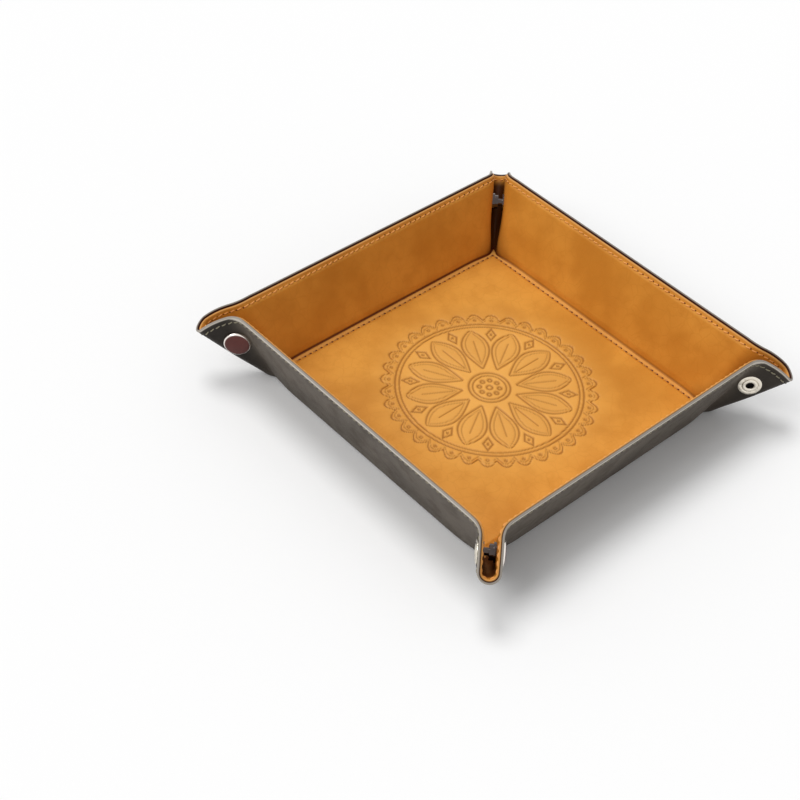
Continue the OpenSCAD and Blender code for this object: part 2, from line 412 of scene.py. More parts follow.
    def middle(self, x: Array, y: Array) -> Array:
        """Middle of the leather in the tray.

        Args:
            x: Flat places along the crease.
            y: Flat places up from the crease; below zero is the base.

        Returns:
            One tray point to a row, in millimetres.
        """
        x, y = np.asarray(x, float), np.asarray(y, float)
        base, wall = self._base_mid(x, self.half_base + y), self._wall_mid_closed(x, np.maximum(y, 0.0))
        p = np.where((y < 0.0)[:, None], base, wall)
        # softly keeps the sheet from dipping below the base
        rise = p[:, 2] - self.grey_t
        p[:, 2] = self.grey_t + (rise + np.sqrt(rise ** 2 + self.soft_floor ** 2) - self.soft_floor) / 2.0
        return p

    def normal(self, x: Array, y: Array) -> Array:
        """Unit normals towards the tan side at flat points."""
        dx, dy = (self.middle(x + h, y + k) - self.middle(x - h, y - k) for h, k in np.diag([self.probe] * 2))
        return unit(np.cross(dx, dy))

    def board_lift(self, x: Array, y: Array) -> Array:
        """How far the stiffener board lifts the tan leather.

        Args:
            x: Flat places along the crease.
            y: Flat places up from the crease.

        Returns:
            The lift at each place, in millimetres.
        """
        across, _ = self.bend_coords(x, y)
        full, skirt = self.board_margin - self.board_skirt, -self.board_skirt
        up = smoothstep(self.board_foot_from, full, y)
        down = smoothstep(self.board_top_from, full, self.wall_h - y)
        side = smoothstep(-self.board_side_fade, skirt, -across - self.board_side)
        base = smoothstep(-self.board_base_fade, skirt, np.minimum(self.half_base - x, -y) - self.board_margin)
        return self.board_t * np.where(y >= 0.0, up * down * side, base)

    def rim_hit(self, start: Flat, way: Flat, inset: float) -> float:
        """How far from a flat point the sheet's edge line lies.

        Args:
            start: The flat point.
            way: Unit direction to go.
            inset: How far the edge line is drawn in.

        Returns:
            The distance.
        """
        (x, y), (dx, dy), (ox, oy) = start, way, self.arc
        if dy > 1e-9:
            t = (self.wall_h - inset - y) / dy
            if x + t * dx <= ox:
                return t
        px, py, r = x - ox, y - oy, self.corner_r - inset
        b, c = px * dx + py * dy, px * px + py * py - r * r
        return -b + math.sqrt(max(b * b - c, 0.0))


SHEET = FoldedSheet()

# Distances in from the sheet's edge at which the meshes have rows: close at the rounded rim and the seam
RIM_ROWS = [0.0, 0.05, 0.14, 0.27, 0.42, 0.62, 0.9, 1.3, 1.9, 2.6, 3.2, 3.5, 3.75, 4.0, 4.25, 4.5, 4.8, 5.2,
            5.5, 5.8, 6.1, 6.5]


def rim_rows(edge: float) -> list[float]:
    """Distances in from the sheet's edge of the rows of a leather whose own edge is drawn in by edge."""
    return [edge + v for v in RIM_ROWS if edge + v < RIM_ROWS[-1] - 0.15] + [RIM_ROWS[-1]]


@dataclass
class FlatGrid:
    """A structured grid of flat points, for one piece of the sheet."""

    x: Array
    y: Array
    keep: Array | None = None

    def quads(self) -> Array:
        """Lists the grid's faces.

        Returns:
            Corner numbers, counter-clockwise in the flat pattern, without the faces left out.
        """
        i = np.arange(self.x.size).reshape(self.x.shape)
        q = np.stack([i[:-1, :-1], i[:-1, 1:], i[1:, 1:], i[1:, :-1]], axis=-1)
        return (q if self.keep is None else q[self.keep]).reshape(-1, 4)


def row_grid(ys: Sequence[float], half_widths: Array, shares: Sequence[float]) -> FlatGrid:
    """Grid of level rows, each with its own half width, split at the same shares of it."""
    return FlatGrid(np.outer(half_widths, shares), np.outer(ys, np.ones(len(shares))))


def column_grid(starts: Sequence[Flat], ways: Sequence[Flat], step: float, edge: float,
                low_rows: Sequence[float]) -> FlatGrid:
    """Grid whose columns run in straight lines from a lower edge to the rim.

    Args:
        starts: Lower end of each column.
        ways: Unit direction of each column.
        step: Row spacing below the rim's own rows.
        edge: How far the leather's edge is drawn in from the sheet's edge.
        low_rows: Extra rows, as distances from the column's lower end.

    Returns:
        The grid, with its last row on the leather's edge.
    """
    insets, base = rim_rows(edge), low_rows[-1]
    inner = [SHEET.rim_hit(s, w, insets[-1]) for s, w in zip(starts, ways)]
    count = max(2, round((max(inner) - base) / step))
    columns = []
    for start, way, reach in zip(starts, ways, inner):
        room = max(reach - base, 0.2)
        ts = [0.0, *low_rows] + [base + room * k / count for k in range(1, count)]
        ts += [SHEET.rim_hit(start, way, e) for e in reversed(insets)]
        columns.append(np.array(start)[:, None] + np.outer(way, ts))
    x, y = np.array(columns).transpose(1, 2, 0)
    return FlatGrid(x, y)


# Building meshes


def mesh_object(name: str, verts: Array, faces: Sequence[Sequence[int]], marks: dict[str, Array] | None = None,
                sharp_deg: float = 40.0) -> bpy.types.Object:
    """A mesh object at the origin.

    Args:
        name: Name of the piece.
        verts: Points in metres.
        faces: Corner numbers of each face.
        marks: Named numbers to store, one for each point.
        sharp_deg: Edges that turn more than this are shaded sharp.

    Returns:
        The object, linked to the scene.
    """
    mesh = bpy.data.meshes.new(name)
    mesh.from_pydata(verts.tolist(), [], [list(map(int, f)) for f in faces])
    mesh.validate(clean_customdata=False)
    mesh.update()
    mesh.shade_smooth()
    mesh.set_sharp_from_angle(angle=math.radians(sharp_deg))
    for key, values in (marks or {}).items():
        mesh.attributes.new(key, "FLOAT", "POINT").data.foreach_set("value", np.asarray(values, np.float32))
    obj = bpy.data.objects.new(name, mesh)
    bpy.context.scene.collection.objects.link(obj)
    return obj


def carry(obj: bpy.types.Object, body: str, node: str) -> bpy.types.Object:
    """Fixes a piece to a body, in the place of a CAD node.

    Args:
        obj: The piece.
        body: Name of the body.
        node: Name of the CAD node.

    Returns:
        The piece.
    """
    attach(obj, body)
    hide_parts(node)
    return obj


def shell_faces(quads: Array, count: int) -> list[list[int]]:
    """Closes a sheet to a solid shell.

    Args:
        quads: Faces of the upper side, over the first count points.
        count: Points of the upper side; the lower side's points follow them in the same order.

    Returns:
        Upper faces, lower faces and the walls between them.
    """
    faces = quads.tolist() + [[v + count for v in reversed(q)] for q in quads.tolist()]
    edges: dict[tuple[int, int], tuple[int, int]] = {}
    for q in quads.tolist():
        for a, b in zip(q, q[1:] + q[:1]):
            key = (min(a, b), max(a, b))
            if edges.pop(key, None) is None:
                edges[key] = (a, b)
    return faces + [[b, a, a + count, b + count] for a, b in edges.values()]


# Finishes


def linear(hex_colour: str) -> tuple[float, float, float, float]:
    """Turns an sRGB hex colour into the linear RGBA that shaders take."""
    parts = [int(hex_colour.lstrip("#")[i:i + 2], 16) / 255.0 for i in (0, 2, 4)]
    return *(c / 12.92 if c <= 0.04045 else ((c + 0.055) / 1.055) ** 2.4 for c in parts), 1.0


def add_node(tree: bpy.types.NodeTree, kind: str, links: dict[Any, Any] | None = None, out: Any = 0,
             **settings: Any) -> Any:
    """Adds one node with its settings and links.

    Args:
        tree: The node tree.
        kind: The node's type name.
        links: For each input, by name or number, a socket to link from or a value to set.
        out: The output wanted, by name or number.
        **settings: Properties of the node.

    Returns:
        The output wanted, or the node where it has no outputs.
    """
    node = tree.nodes.new(kind)
    for key, value in settings.items():
        setattr(node, key, value)
    for key, value in (links or {}).items():
        if isinstance(value, Socket):
            tree.links.new(value, node.inputs[key])
        else:
            node.inputs[key].default_value = value
    return node.outputs[out] if len(node.outputs) else node


@dataclass(frozen=True)
class Finish:
    """A procedural finish: one base colour with others laid over it, on Object coordinates."""

    name: str
    slot: str
    colour: str

    def material(self) -> bpy.types.Material:
        """Makes the material, once.

        Returns:
            The material.
        """
        material = bpy.data.materials.get(self.name)
        if material is None:
            material = bpy.data.materials.new(self.name)
            material.use_nodes = True
            tree = material.node_tree
            tree.nodes.clear()
            place = add_node(tree, "ShaderNodeTexCoord", out="Object")
            shader = add_node(tree, "ShaderNodeBsdfPrincipled", self.surface(tree, place))
            add_node(tree, "ShaderNodeOutputMaterial", {"Surface": shader})
        return material

    def surface(self, tree: bpy.types.NodeTree, place: Socket) -> dict[str, Any]:
        """What goes into the shader: here the base colour, quite matt."""
        return {"Base Color": linear(self.colour), "Roughness": 0.9, "Specular IOR Level": 0.0}

    def layered(self, tree: bpy.types.NodeTree, layers: Sequence[tuple[str, Any, float]]) -> Any:
        """Lays colours over the base colour, one after another.

        Args:
            tree: The material's tree.
            layers: For each colour its hex value, its mask as a socket or a point attribute's name, and its strength.

        Returns:
            The last colour's socket.
        """
        colour: Any = linear(self.colour)
        for shade, mask, strength in layers:
            if isinstance(mask, str):
                mask = add_node(tree, "ShaderNodeAttribute", out="Fac", attribute_name=mask)
            cover = add_node(tree, "ShaderNodeMath", {0: mask, 1: strength}, operation="MULTIPLY")
            colour = add_node(tree, "ShaderNodeMix", {0: cover, 6: colour, 7: linear(shade)}, 2, data_type="RGBA")
        return colour

    def dress(self, obj: bpy.types.Object) -> None:
        """Gives a piece this finish."""
        obj.data.materials.append(self.material())


@dataclass(frozen=True)
class Leather(Finish):
    """Bonded leather with a rolled, waxed grain: a soft low gloss, fine creases and cloudy colour.

    Its edges are cut and burnished, so they differ in colour from its face; on the grey leather the pale edge band
    is widened into a painted highlight of light on the rolled edge. Painted shade darkens its creases, the corner
    pockets and the grey flaps, and the pressed lines of the base get a painted highlight on their shoulders. The pores
    are drawn at 0.55 mm, coarser than the real 0.3 mm or so, and the pebbles of the grain at 2.6 mm against 1 mm,
    so that they still show as a soft unevenness.
    """

    cloud: str
    edge: str
    seam: str
    crease: str
    pressed: str
    pale_and_highlight_tone: str
    fold: str
    fold_share: float
    roughness: float
    bump: float
    cloud_mm: float = 46.0
    patch_mm: float = 11.0
    grain_mm: float = 0.55
    wrinkle_mm: float = 7.0
    fine_mm: float = 2.6
    relief_mm: float = 0.12

    def patterns(self, tree: bpy.types.NodeTree, place: Socket) -> list[Socket]:
        """Builds the leather's patterns, each 0 to 1.

        Args:
            tree: The material's tree.
            place: Object coordinates.

        Returns:
            Clouds of colour, smaller patches, pores of the grain, and the wrinkles' lines.
        """
        warp = add_node(tree, "ShaderNodeTexNoise", {"Vector": place, "Scale": 1.0 / (self.wrinkle_mm * 0.6 * MM),
                                                     "Detail": 2.0}, "Color")
        warp = add_node(tree, "ShaderNodeVectorMath", {0: warp, "Scale": 0.35 * self.wrinkle_mm * MM},
                        operation="SCALE")
        bent = add_node(tree, "ShaderNodeVectorMath", {0: place, 1: warp})
        noise, cells, to_edge = "ShaderNodeTexNoise", "ShaderNodeTexVoronoi", {"feature": "DISTANCE_TO_EDGE"}
        made = []
        for kind, settings, where, size_mm, more, low, high in (
                (noise, {}, place, self.cloud_mm, {"Detail": 3.0, "Roughness": 0.55}, 0.36, 0.66),
                (noise, {}, place, self.patch_mm, {"Detail": 4.0, "Roughness": 0.6}, 0.42, 0.72),
                (cells, to_edge, place, self.grain_mm, {}, 0.0, 0.22),
                (cells, to_edge, bent, self.wrinkle_mm, {}, 0.0, 0.06)):
            raw = add_node(tree, kind, {"Vector": where, "Scale": 1.0 / (size_mm * MM), **more}, **settings)
            made.append(add_node(tree, "ShaderNodeMapRange", {"Value": raw, "From Min": low, "From Max": high},
                                 interpolation_type="SMOOTHSTEP"))
        return made

    def surface(self, tree: bpy.types.NodeTree, place: Socket) -> dict[str, Any]:
        """Builds the leather's colour, gloss and relief.

        Args:
            tree: The material's tree.
            place: Object coordinates.

        Returns:
            What goes into the shader.
        """
        clouds, patches, pores, wrinkles = self.patterns(tree, place)
        cracks = add_node(tree, "ShaderNodeMath", {0: 1.0, 1: wrinkles}, operation="SUBTRACT")
        # the layers over the pocket folds and the creases are painted shade; the pale rim band of the grey leather and
        # the light shoulders of the rosette's lines are painted highlight
        colour = self.layered(tree, [
            (self.cloud, clouds, 0.75), (self.cloud, patches, 0.35), (self.cloud, cracks, 0.22),
            (self.pale_and_highlight_tone, "rub", 0.8), (self.pressed, "press", 0.85), (self.fold, "fold", self.fold_share),
            (self.edge, "rim", 1.0), (self.crease, "crease", 0.9), (self.seam, "seam", 1.0)])
        rough = add_node(tree, "ShaderNodeMapRange", {"Value": patches, "To Min": self.roughness - 0.05,
                                                      "To Max": self.roughness + 0.08})
        fine = add_node(tree, "ShaderNodeTexNoise", {"Vector": place, "Scale": 1.0 / (self.fine_mm * MM),
                                                     "Detail": 3.0, "Roughness": 0.5})
        height: Any = 0.0
        for part, share in ((wrinkles, 0.5), (fine, 0.45), (pores, 0.3)):
            height = add_node(tree, "ShaderNodeMath", {0: part, 1: share, 2: height}, operation="MULTIPLY_ADD")
        bump = add_node(tree, "ShaderNodeBump", {"Height": height, "Strength": self.bump,
                                                 "Distance": self.relief_mm * MM})
        return {"Base Color": colour, "Roughness": rough, "Normal": bump, "IOR": 1.45, "Specular IOR Level": 0.22}


@dataclass(frozen=True)
class Flecked(Finish):
    """A finish of two close colours in fine flecks, with a slight relief where it has one."""

    shade: str
    fleck_mm: float
    roughness: float
    detail: float = 2.0
    relief: float = 0.0

    def surface(self, tree: bpy.types.NodeTree, place: Socket) -> dict[str, Any]:
        """Builds the flecks.

        Args:
            tree: The material's tree.
            place: Object coordinates.

        Returns:
            What goes into the shader.
        """
        flecks = add_node(tree, "ShaderNodeTexNoise", {"Vector": place, "Scale": 1.0 / (self.fleck_mm * MM),
                                                       "Detail": self.detail})
        made = {"Base Color": self.layered(tree, [(self.shade, flecks, 1.0)]), "Roughness": self.roughness}
        if self.relief:
            made["Normal"] = add_node(tree, "ShaderNodeBump", {"Height": flecks, "Strength": self.relief,
                                                               "Distance": 0.1 * MM})
        return made


@dataclass(frozen=True)
class Thread(Flecked):
    """Waxed polyester thread: a satin twisted strand, with discs of dark painted shade at its needle holes."""

    hole: str = ""
    hole_depth: str = ""

    @property
    def needle_hole(self) -> Finish:
        """The finish of its needle holes: dark, matt painted shade of the hole."""
        return Flecked(self.name + "_needle_hole", self.slot, self.hole, self.hole_depth, 0.8, 0.9)


@dataclass(frozen=True)
class PlatedMetal(Finish):
    """Nickel-plated brass, pressed and polished: sharp reflections with faint handling marks.

    The marks are drawn at 0.5 mm, coarser than real scratches, so that they only trouble the reflections.
    """

    tarnish: str
    roughness: float
    marked: str = ""
    lacquer: float = 0.0
    smudge_mm: float = 3.0
    scratch_mm: float = 0.5

    def surface(self, tree: bpy.types.NodeTree, place: Socket) -> dict[str, Any]:
        """Builds the plate's colour, polish and faint scratches.

        Args:
            tree: The material's tree.
            place: Object coordinates.

        Returns:
            What goes into the shader.
        """
        smudge, fine = (add_node(tree, "ShaderNodeTexNoise", {"Vector": place, "Scale": 1.0 / (size * MM),
                                                              "Detail": detail})
                        for size, detail in ((self.smudge_mm, 3.0), (self.scratch_mm, 1.0)))
        # the second colour is painted light: a highlight on the cap's shoulder, shade in the ring's bore
        marks = [(self.marked, "mark", 1.0)] if self.marked else []
        rough = add_node(tree, "ShaderNodeMapRange", {"Value": smudge, "To Min": self.roughness - 0.05,
                                                      "To Max": self.roughness + 0.1})
        bump = add_node(tree, "ShaderNodeBump", {"Height": fine, "Strength": 0.06, "Distance": 0.05 * MM})
        return {"Base Color": self.layered(tree, [(self.tarnish, smudge, 1.0), *marks]), "Roughness": rough,
                "Normal": bump, "Metallic": 1.0, "Coat Weight": self.lacquer, "Coat Roughness": 0.06}


# Waxed tan leather: a warm, clouded face under a soft gloss, paler over the middle of the base, with painted highlight
# on the shoulders of the pressed lines and painted shade, near black, in the corner pockets and along the creases
TAN_LEATHER = Leather(
    "tan_waxed_leather", "tan_leather", "#DE9A3D", cloud="#C37F28", edge="#E3A55A", seam="#3A0E06", crease="#521004",
    pressed="#8E5210", pale_and_highlight_tone="#F4B65C", fold="#360A02", fold_share=0.75, roughness=0.5, bump=0.3)
# Grey-brown leather, rougher and drier to the eye, with a pale cut edge widened into a painted highlight of light on
# the rolled edge, and painted shade on the flaps and at the creases
GREY_LEATHER = Leather(
    "grey_pebbled_leather", "grey_leather", "#5F564C", cloud="#453D34", edge="#D2CABF", seam="#360C06",
    crease="#3A332B", pressed="#453D34", pale_and_highlight_tone="#5F564C", fold="#1C1610", fold_share=0.74, roughness=0.55, bump=0.4)
# The strand's twist is drawn at its real 0.45 mm, and shows as a broken satin line
TAN_THREAD, GREY_THREAD, BASE_THREAD = (
    Thread(name, "thread", colour, shade, 0.45, 0.55, relief=0.5, hole=hole, hole_depth=deep)
    for name, colour, shade, hole, deep in (
        ("orange_tan_waxed_thread", "#F4B062", "#DE9848", "#7A3204", "#602602"),
        ("beige_waxed_thread", "#968E77", "#746D58", "#221E1A", "#191612"),
        ("tan_waxed_thread", "#C08A48", "#A87234", "#5E1C04", "#491402")))
RIM_THREADS = {Side.TAN: TAN_THREAD, Side.GREY: GREY_THREAD}
# Lacquered dark red-brown plate: its colour paints the reflection of dark surroundings, and a painted highlight runs
# along the cap's shoulder
CAP_PLATE = PlatedMetal("polished_black_nickel_plate", "chrome", "#5E2C26", "#45201C", 0.1, "#F2EAE2", 0.5)
# Lacquered near-black plate: its colour paints the shade and dark reflections in the corner pockets, under real glints
SOCKET_PLATE = PlatedMetal("plate_painted_pocket_shade", "chrome", "#3E2C26", "#281C18", 0.12, lacquer=1.0)
# Bright nickel, with painted shade in its bore
RING_PLATE = PlatedMetal("polished_bright_nickel_plate", "chrome", "#EFE8DA", "#D8CFC0", 0.16, "#0C0908")
# Pressed paper board: matt, with short grey fibres
BOARD = Flecked("pressed_grey_board", "board", "#8A857C", "#6E6A62", 1.2, 0.95, 4.0)
# A painted table top, without gloss
TABLE = Finish("matt_white_table", "", "#FDFDFD")


# Stitching


@dataclass
class StitchPoint:
    """One stitch: where it lies and how it is turned."""

    place: Array
    along: Array
    up: Array
    face: Side = Side.TAN

    @property
    def turn(self) -> list[float]:
        """The stitch's turn as a quaternion."""
        across = unit(np.cross(unit(self.up), self.along))
        return list(Matrix((np.cross(across, unit(self.up)), across, unit(self.up))).transposed().to_quaternion())


@dataclass(frozen=True)
class StitchKit:
    """Geometry Nodes tree that lays one stitch, with its needle hole, at each point of a mesh."""

    length: float = 2.7
    thickness: float = 0.7
    rise: float = 0.4
    slant: float = math.radians(12.0)
    hole_r: float = 0.5
    mouth_past: float = 0.18
    mouth_scale: Triple = (1.35, 1.0, 0.16)
    wobble: Triple = (0.04, 0.03, 0.05)
    seed: int = 7

    def inputs(self) -> dict[str, tuple[str, Any]]:
        """Names the tree's inputs.

        Returns:
            The kind and value of each input, by name.
        """
        sizes = {"Stitch length": self.length, "Thread thickness": self.thickness, "Rise": self.rise,
                 "Hole radius": self.hole_r, "Slant": self.slant}
        return {**{label: ("Float", value) for label, value in sizes.items()}, "Seed": ("Int", self.seed)}

    def tree(self) -> bpy.types.NodeTree:
        """Makes the node tree, once.

        Returns:
            The tree.
        """
        tree = bpy.data.node_groups.get("lay_stitches")
        if tree:
            return tree
        tree = bpy.data.node_groups.new("lay_stitches", "GeometryNodeTree")
        face = tree.interface
        face.new_socket("Geometry", in_out="INPUT", socket_type="NodeSocketGeometry")
        for label, (kind, value) in self.inputs().items():
            face.new_socket(label, in_out="INPUT", socket_type="NodeSocket" + kind).default_value = value
        for label in ("Thread", "Needle hole"):
            face.new_socket(label, in_out="INPUT", socket_type="NodeSocketMaterial")
        face.new_socket("Geometry", in_out="OUTPUT", socket_type="NodeSocketGeometry")
        g = add_node(tree, "NodeGroupInput").node.outputs
        half, back, sink, top, thread_r, hole_r = (
            add_node(tree, "ShaderNodeMath", {0: g[label], 1: share * MM}, operation="MULTIPLY")
            for label, share in (("Stitch length", 0.5), ("Stitch length", -0.5), ("Thread thickness", -0.35),
                                 ("Rise", 1.5), ("Thread thickness", 0.5), ("Hole radius", 1.0)))
        mouth_x = add_node(tree, "ShaderNodeMath", {0: half, 1: self.mouth_past * MM}, operation="ADD")
        start, middle, end, mouth, slant = (
            add_node(tree, "ShaderNodeCombineXYZ", dict(enumerate(xyz)))
            for xyz in ((back, 0.0, sink), (0.0, 0.0, top), (half, 0.0, sink), (mouth_x, 0.0, 0.0),
                        (0.0, 0.0, g["Slant"])))
        arc = add_node(tree, "GeometryNodeCurveQuadraticBezier", {
            "Resolution": 7, "Start": start, "Middle": middle, "End": end})
        ring = add_node(tree, "GeometryNodeCurvePrimitiveCircle", {"Resolution": 8, "Radius": thread_r}, mode="RADIUS")
        strand = add_node(tree, "GeometryNodeCurveToMesh", {"Curve": arc, "Profile Curve": ring, "Fill Caps": True})
        # the needle hole is a flat disc whose dark finish is painted shade of the hole
        disc = add_node(tree, "GeometryNodeMeshUVSphere", {"Segments": 8, "Rings": 4, "Radius": hole_r})
        disc = add_node(tree, "GeometryNodeTransform", {"Geometry": disc, "Scale": self.mouth_scale})
        disc = add_node(tree, "GeometryNodeStoreNamedAttribute", {"Geometry": disc, "Name": "hole", "Value": True},
                        data_type="BOOLEAN", domain="FACE")
        disc = add_node(tree, "GeometryNodeTransform", {"Geometry": disc, "Translation": mouth})
        stitch = add_node(tree, "GeometryNodeJoinGeometry")
        for part in (disc, strand):
            tree.links.new(part, stitch.node.inputs[0])
        turn = add_node(tree, "GeometryNodeInputNamedAttribute", {"Name": "turn"}, data_type="QUATERNION")
        wobble = add_node(tree, "FunctionNodeRandomValue", {
            "Min": [-v for v in self.wobble], "Max": self.wobble, "Seed": g["Seed"]}, data_type="FLOAT_VECTOR")
        tilt = add_node(tree, "ShaderNodeVectorMath", {0: wobble, 1: slant})
        tilt = add_node(tree, "FunctionNodeEulerToRotation", {0: tilt})
        spin = add_node(tree, "FunctionNodeRotateRotation", {0: turn, 1: tilt}, rotation_space="LOCAL")
        laid = add_node(tree, "GeometryNodeInstanceOnPoints", {
            "Points": g["Geometry"], "Instance": stitch, "Rotation": spin})
        sewn = add_node(tree, "GeometryNodeRealizeInstances", {"Geometry": laid})
        hole = add_node(tree, "GeometryNodeInputNamedAttribute", {"Name": "hole"}, data_type="BOOLEAN")
        for chosen in ({"Material": g["Thread"]}, {"Material": g["Needle hole"], "Selection": hole}):
            sewn = add_node(tree, "GeometryNodeSetMaterial", {"Geometry": sewn, **chosen})
        add_node(tree, "NodeGroupOutput", {0: sewn})
        return tree

    def sewn(self, thread: Thread, points: Sequence[StitchPoint]) -> bpy.types.Mesh:
        """Lays stitches of one thread and makes them a plain mesh.

        Args:
            thread: The thread.
            points: The stitches.

        Returns:
            The mesh, in metres.
        """
        mesh = bpy.data.meshes.new("stitch_points")
        mesh.from_pydata([tuple(p.place * MM) for p in points], [], [])
        turns = mesh.attributes.new("turn", "QUATERNION", "POINT")
        turns.data.foreach_set("value", [v for p in points for v in p.turn])
        seeds = bpy.data.objects.new("stitch_points", mesh)
        bpy.context.scene.collection.objects.link(seeds)
        modifier = seeds.modifiers.new("stitches", "NODES")
        modifier.node_group = self.tree()
        wanted = {label: value for label, (_, value) in self.inputs().items()}
        wanted |= {"Thread": thread.material(), "Needle hole": thread.needle_hole.material()}
        for item in self.tree().interface.items_tree:
            if item.name in wanted:
                modifier[item.identifier] = wanted[item.name]
        graph = bpy.context.evaluated_depsgraph_get()
        made = bpy.data.meshes.new_from_object(seeds.evaluated_get(graph), depsgraph=graph)
        bpy.data.objects.remove(seeds)
        return made

    def lay(self, name: str, rows: Sequence[tuple[Thread, Sequence[StitchPoint]]]) -> bpy.types.Object:
        """Lays a seam as one piece.

        Args:
            name: Name of the piece.
            rows: Each thread used, with the stitches sewn with it.

        Returns:
            The stitching, at the origin.
        """
        verts, faces, slots, materials = [], [], [], []
        for mesh in (self.sewn(*row) for row in rows):
            offset = sum(map(len, verts))
            co = np.zeros(len(mesh.vertices) * 3)
            mesh.vertices.foreach_get("co", co)
            verts.append(co.reshape(-1, 3))
            materials += [m for m in mesh.materials if m not in materials]
            numbers = [materials.index(m) for m in mesh.materials]
            faces += [[v + offset for v in p.vertices] for p in mesh.polygons]
            slots += [numbers[p.material_index] for p in mesh.polygons]
        obj = mesh_object(name, np.concatenate(verts), faces, sharp_deg=60.0)
        for m in materials:
            obj.data.materials.append(m)
        obj.data.polygons.foreach_set("material_index", slots)
        return obj


# The tray's sub-assemblies


@dataclass(frozen=True)
class Rosette:
    """A plain rosette of round-tipped petals in a scalloped ring, pressed into the base's tan leather."""

    press: float = 0.55
    petals: int = 12
    petal_from: float = 15.0
    petal_to: float = 47.0
    petal_half: float = 7.6
    petal_body: float = 0.12
    lozenge_at: float = 43.5
    lozenge_half: Flat = (4.6, 2.6)
    ring: float = 52.0
    scallops: int = 36
    scallop_r: float = 57.0
    scallop_rise: float = 4.6
    bead_at: float = 55.6
    bead_r: float = 0.7
    hub: float = 11.5
    seeds: int = 8
    seed_at: float = 5.6
    seed_r: float = 1.1
    pip_r: float = 1.6
    line: float = 0.62
    thin: float = 0.8
    lozenge_size: float = 2.3
    lozenge_core: float = 0.35
    ring_gap: float = 2.3
    arch_gap: float = 2.1
    inner_line: float = 2.2
    rub_from: float = 35.0
    rub_to: float = 75.0

    def stroke(self, distance: Array, width: float = 1.0) -> Array:
        """Depth share of a pressed line at a distance from its middle."""
        return bell(distance, self.line * width)

    def sector(self, turn: Array, count: int, offset: float = 0.0) -> Array:
        """Angle from the middle of the nearest of count even sectors."""
        a = turn / (2.0 * math.pi / count) + offset
        return (a - np.round(a)) * 2.0 * math.pi / count

    def petal(self, r: Array, turn: Array) -> Array:
        """Works out the petals, each with an inner line and a rib.

        Args:
            r: Distances from the middle.
            turn: Angles round it.

        Returns:
            Depth shares.
        """
        a = self.sector(turn, self.petals)
        u, v = r * np.cos(a), np.abs(r * np.sin(a))
        q = np.clip((u - self.petal_from) / (self.petal_to - self.petal_from), 0.0, 1.0)
        on = (u > self.petal_from) & (u < self.petal_to)
        # the powers put a petal's widest place towards its tip, and round the tip
        inside = np.where(on, self.petal_half * np.sin(math.pi * q ** 1.25) ** 0.8 - v, -9.0)
        inner = 0.7 * self.stroke(inside - self.inner_line, self.thin) * on * (q > 0.1)
        rib = 0.8 * self.stroke(v, self.thin) * (q > 0.16) * (q < 0.72) * on
        body = self.petal_body * smoothstep(0.0, 1.4, inside)
        return np.maximum.reduce([self.stroke(inside) * on, inner, rib, body])

    def share(self, x: Array, y: Array) -> Array:
        """Works out the whole rosette.

        Args:
            x: Places across the tray.
            y: Places along the tray.

        Returns:
            How deep the leather is pressed in at each place, from 0 to 1.
        """
        r, turn = np.hypot(x, y), np.arctan2(y, x)
        b, c, d = (self.sector(turn, count, offset)
                   for count, offset in ((self.petals, 0.5), (self.scallops, 0.5), (self.seeds, 0.0)))
        long, wide = self.lozenge_half
        lozenge = np.abs(r * np.cos(b) - self.lozenge_at) / long + np.abs(r * np.sin(b)) / wide
        lozenge = self.stroke((lozenge - 1.0) * self.lozenge_size) + 0.8 * (lozenge < self.lozenge_core)
        rings = self.stroke(r - self.ring) + self.stroke(r - self.ring + self.ring_gap, self.thin)
        rings = rings + self.stroke(r - self.hub) + self.stroke(r - self.hub + self.inner_line, self.thin)
        arch = self.scallop_r + self.scallop_rise * (np.cos(c * self.scallops / 2.0) - 0.35)
        scallop = self.stroke(r - arch) + 0.7 * self.stroke(r - arch + self.arch_gap, self.thin)
        bead = 0.8 * self.stroke(np.hypot(r - self.bead_at, r * np.sin(c)) - self.bead_r)
        seed = self.stroke(np.hypot(r * np.cos(d) - self.seed_at, r * np.sin(d)) - self.seed_r)
        seed = seed + self.stroke(r - self.pip_r)
        parts = [self.petal(r, turn), lozenge, np.clip(rings, 0.0, 1.0), scallop, bead, seed]
        return np.clip(np.maximum.reduce(parts), 0.0, 1.0)

    def rub(self, x: Array, y: Array, share: Array) -> Array:
        """Where the leather is drawn lighter: paler over the middle, with painted highlight on the shoulders of the
        lines.
        """
        middle = 1.0 - smoothstep(self.rub_from, self.rub_to, np.hypot(x, y))
        return np.maximum(0.8 * middle, smoothstep(0.14, 0.25, share) * (1.0 - smoothstep(0.35, 0.65, share)))


def crease_shade(y: Array) -> Array:
    """Painted shade along the crease, at a place up from it."""
    return smoothstep(-1.3, -0.2, y) * (1.0 - smoothstep(1.4, 2.8, y))


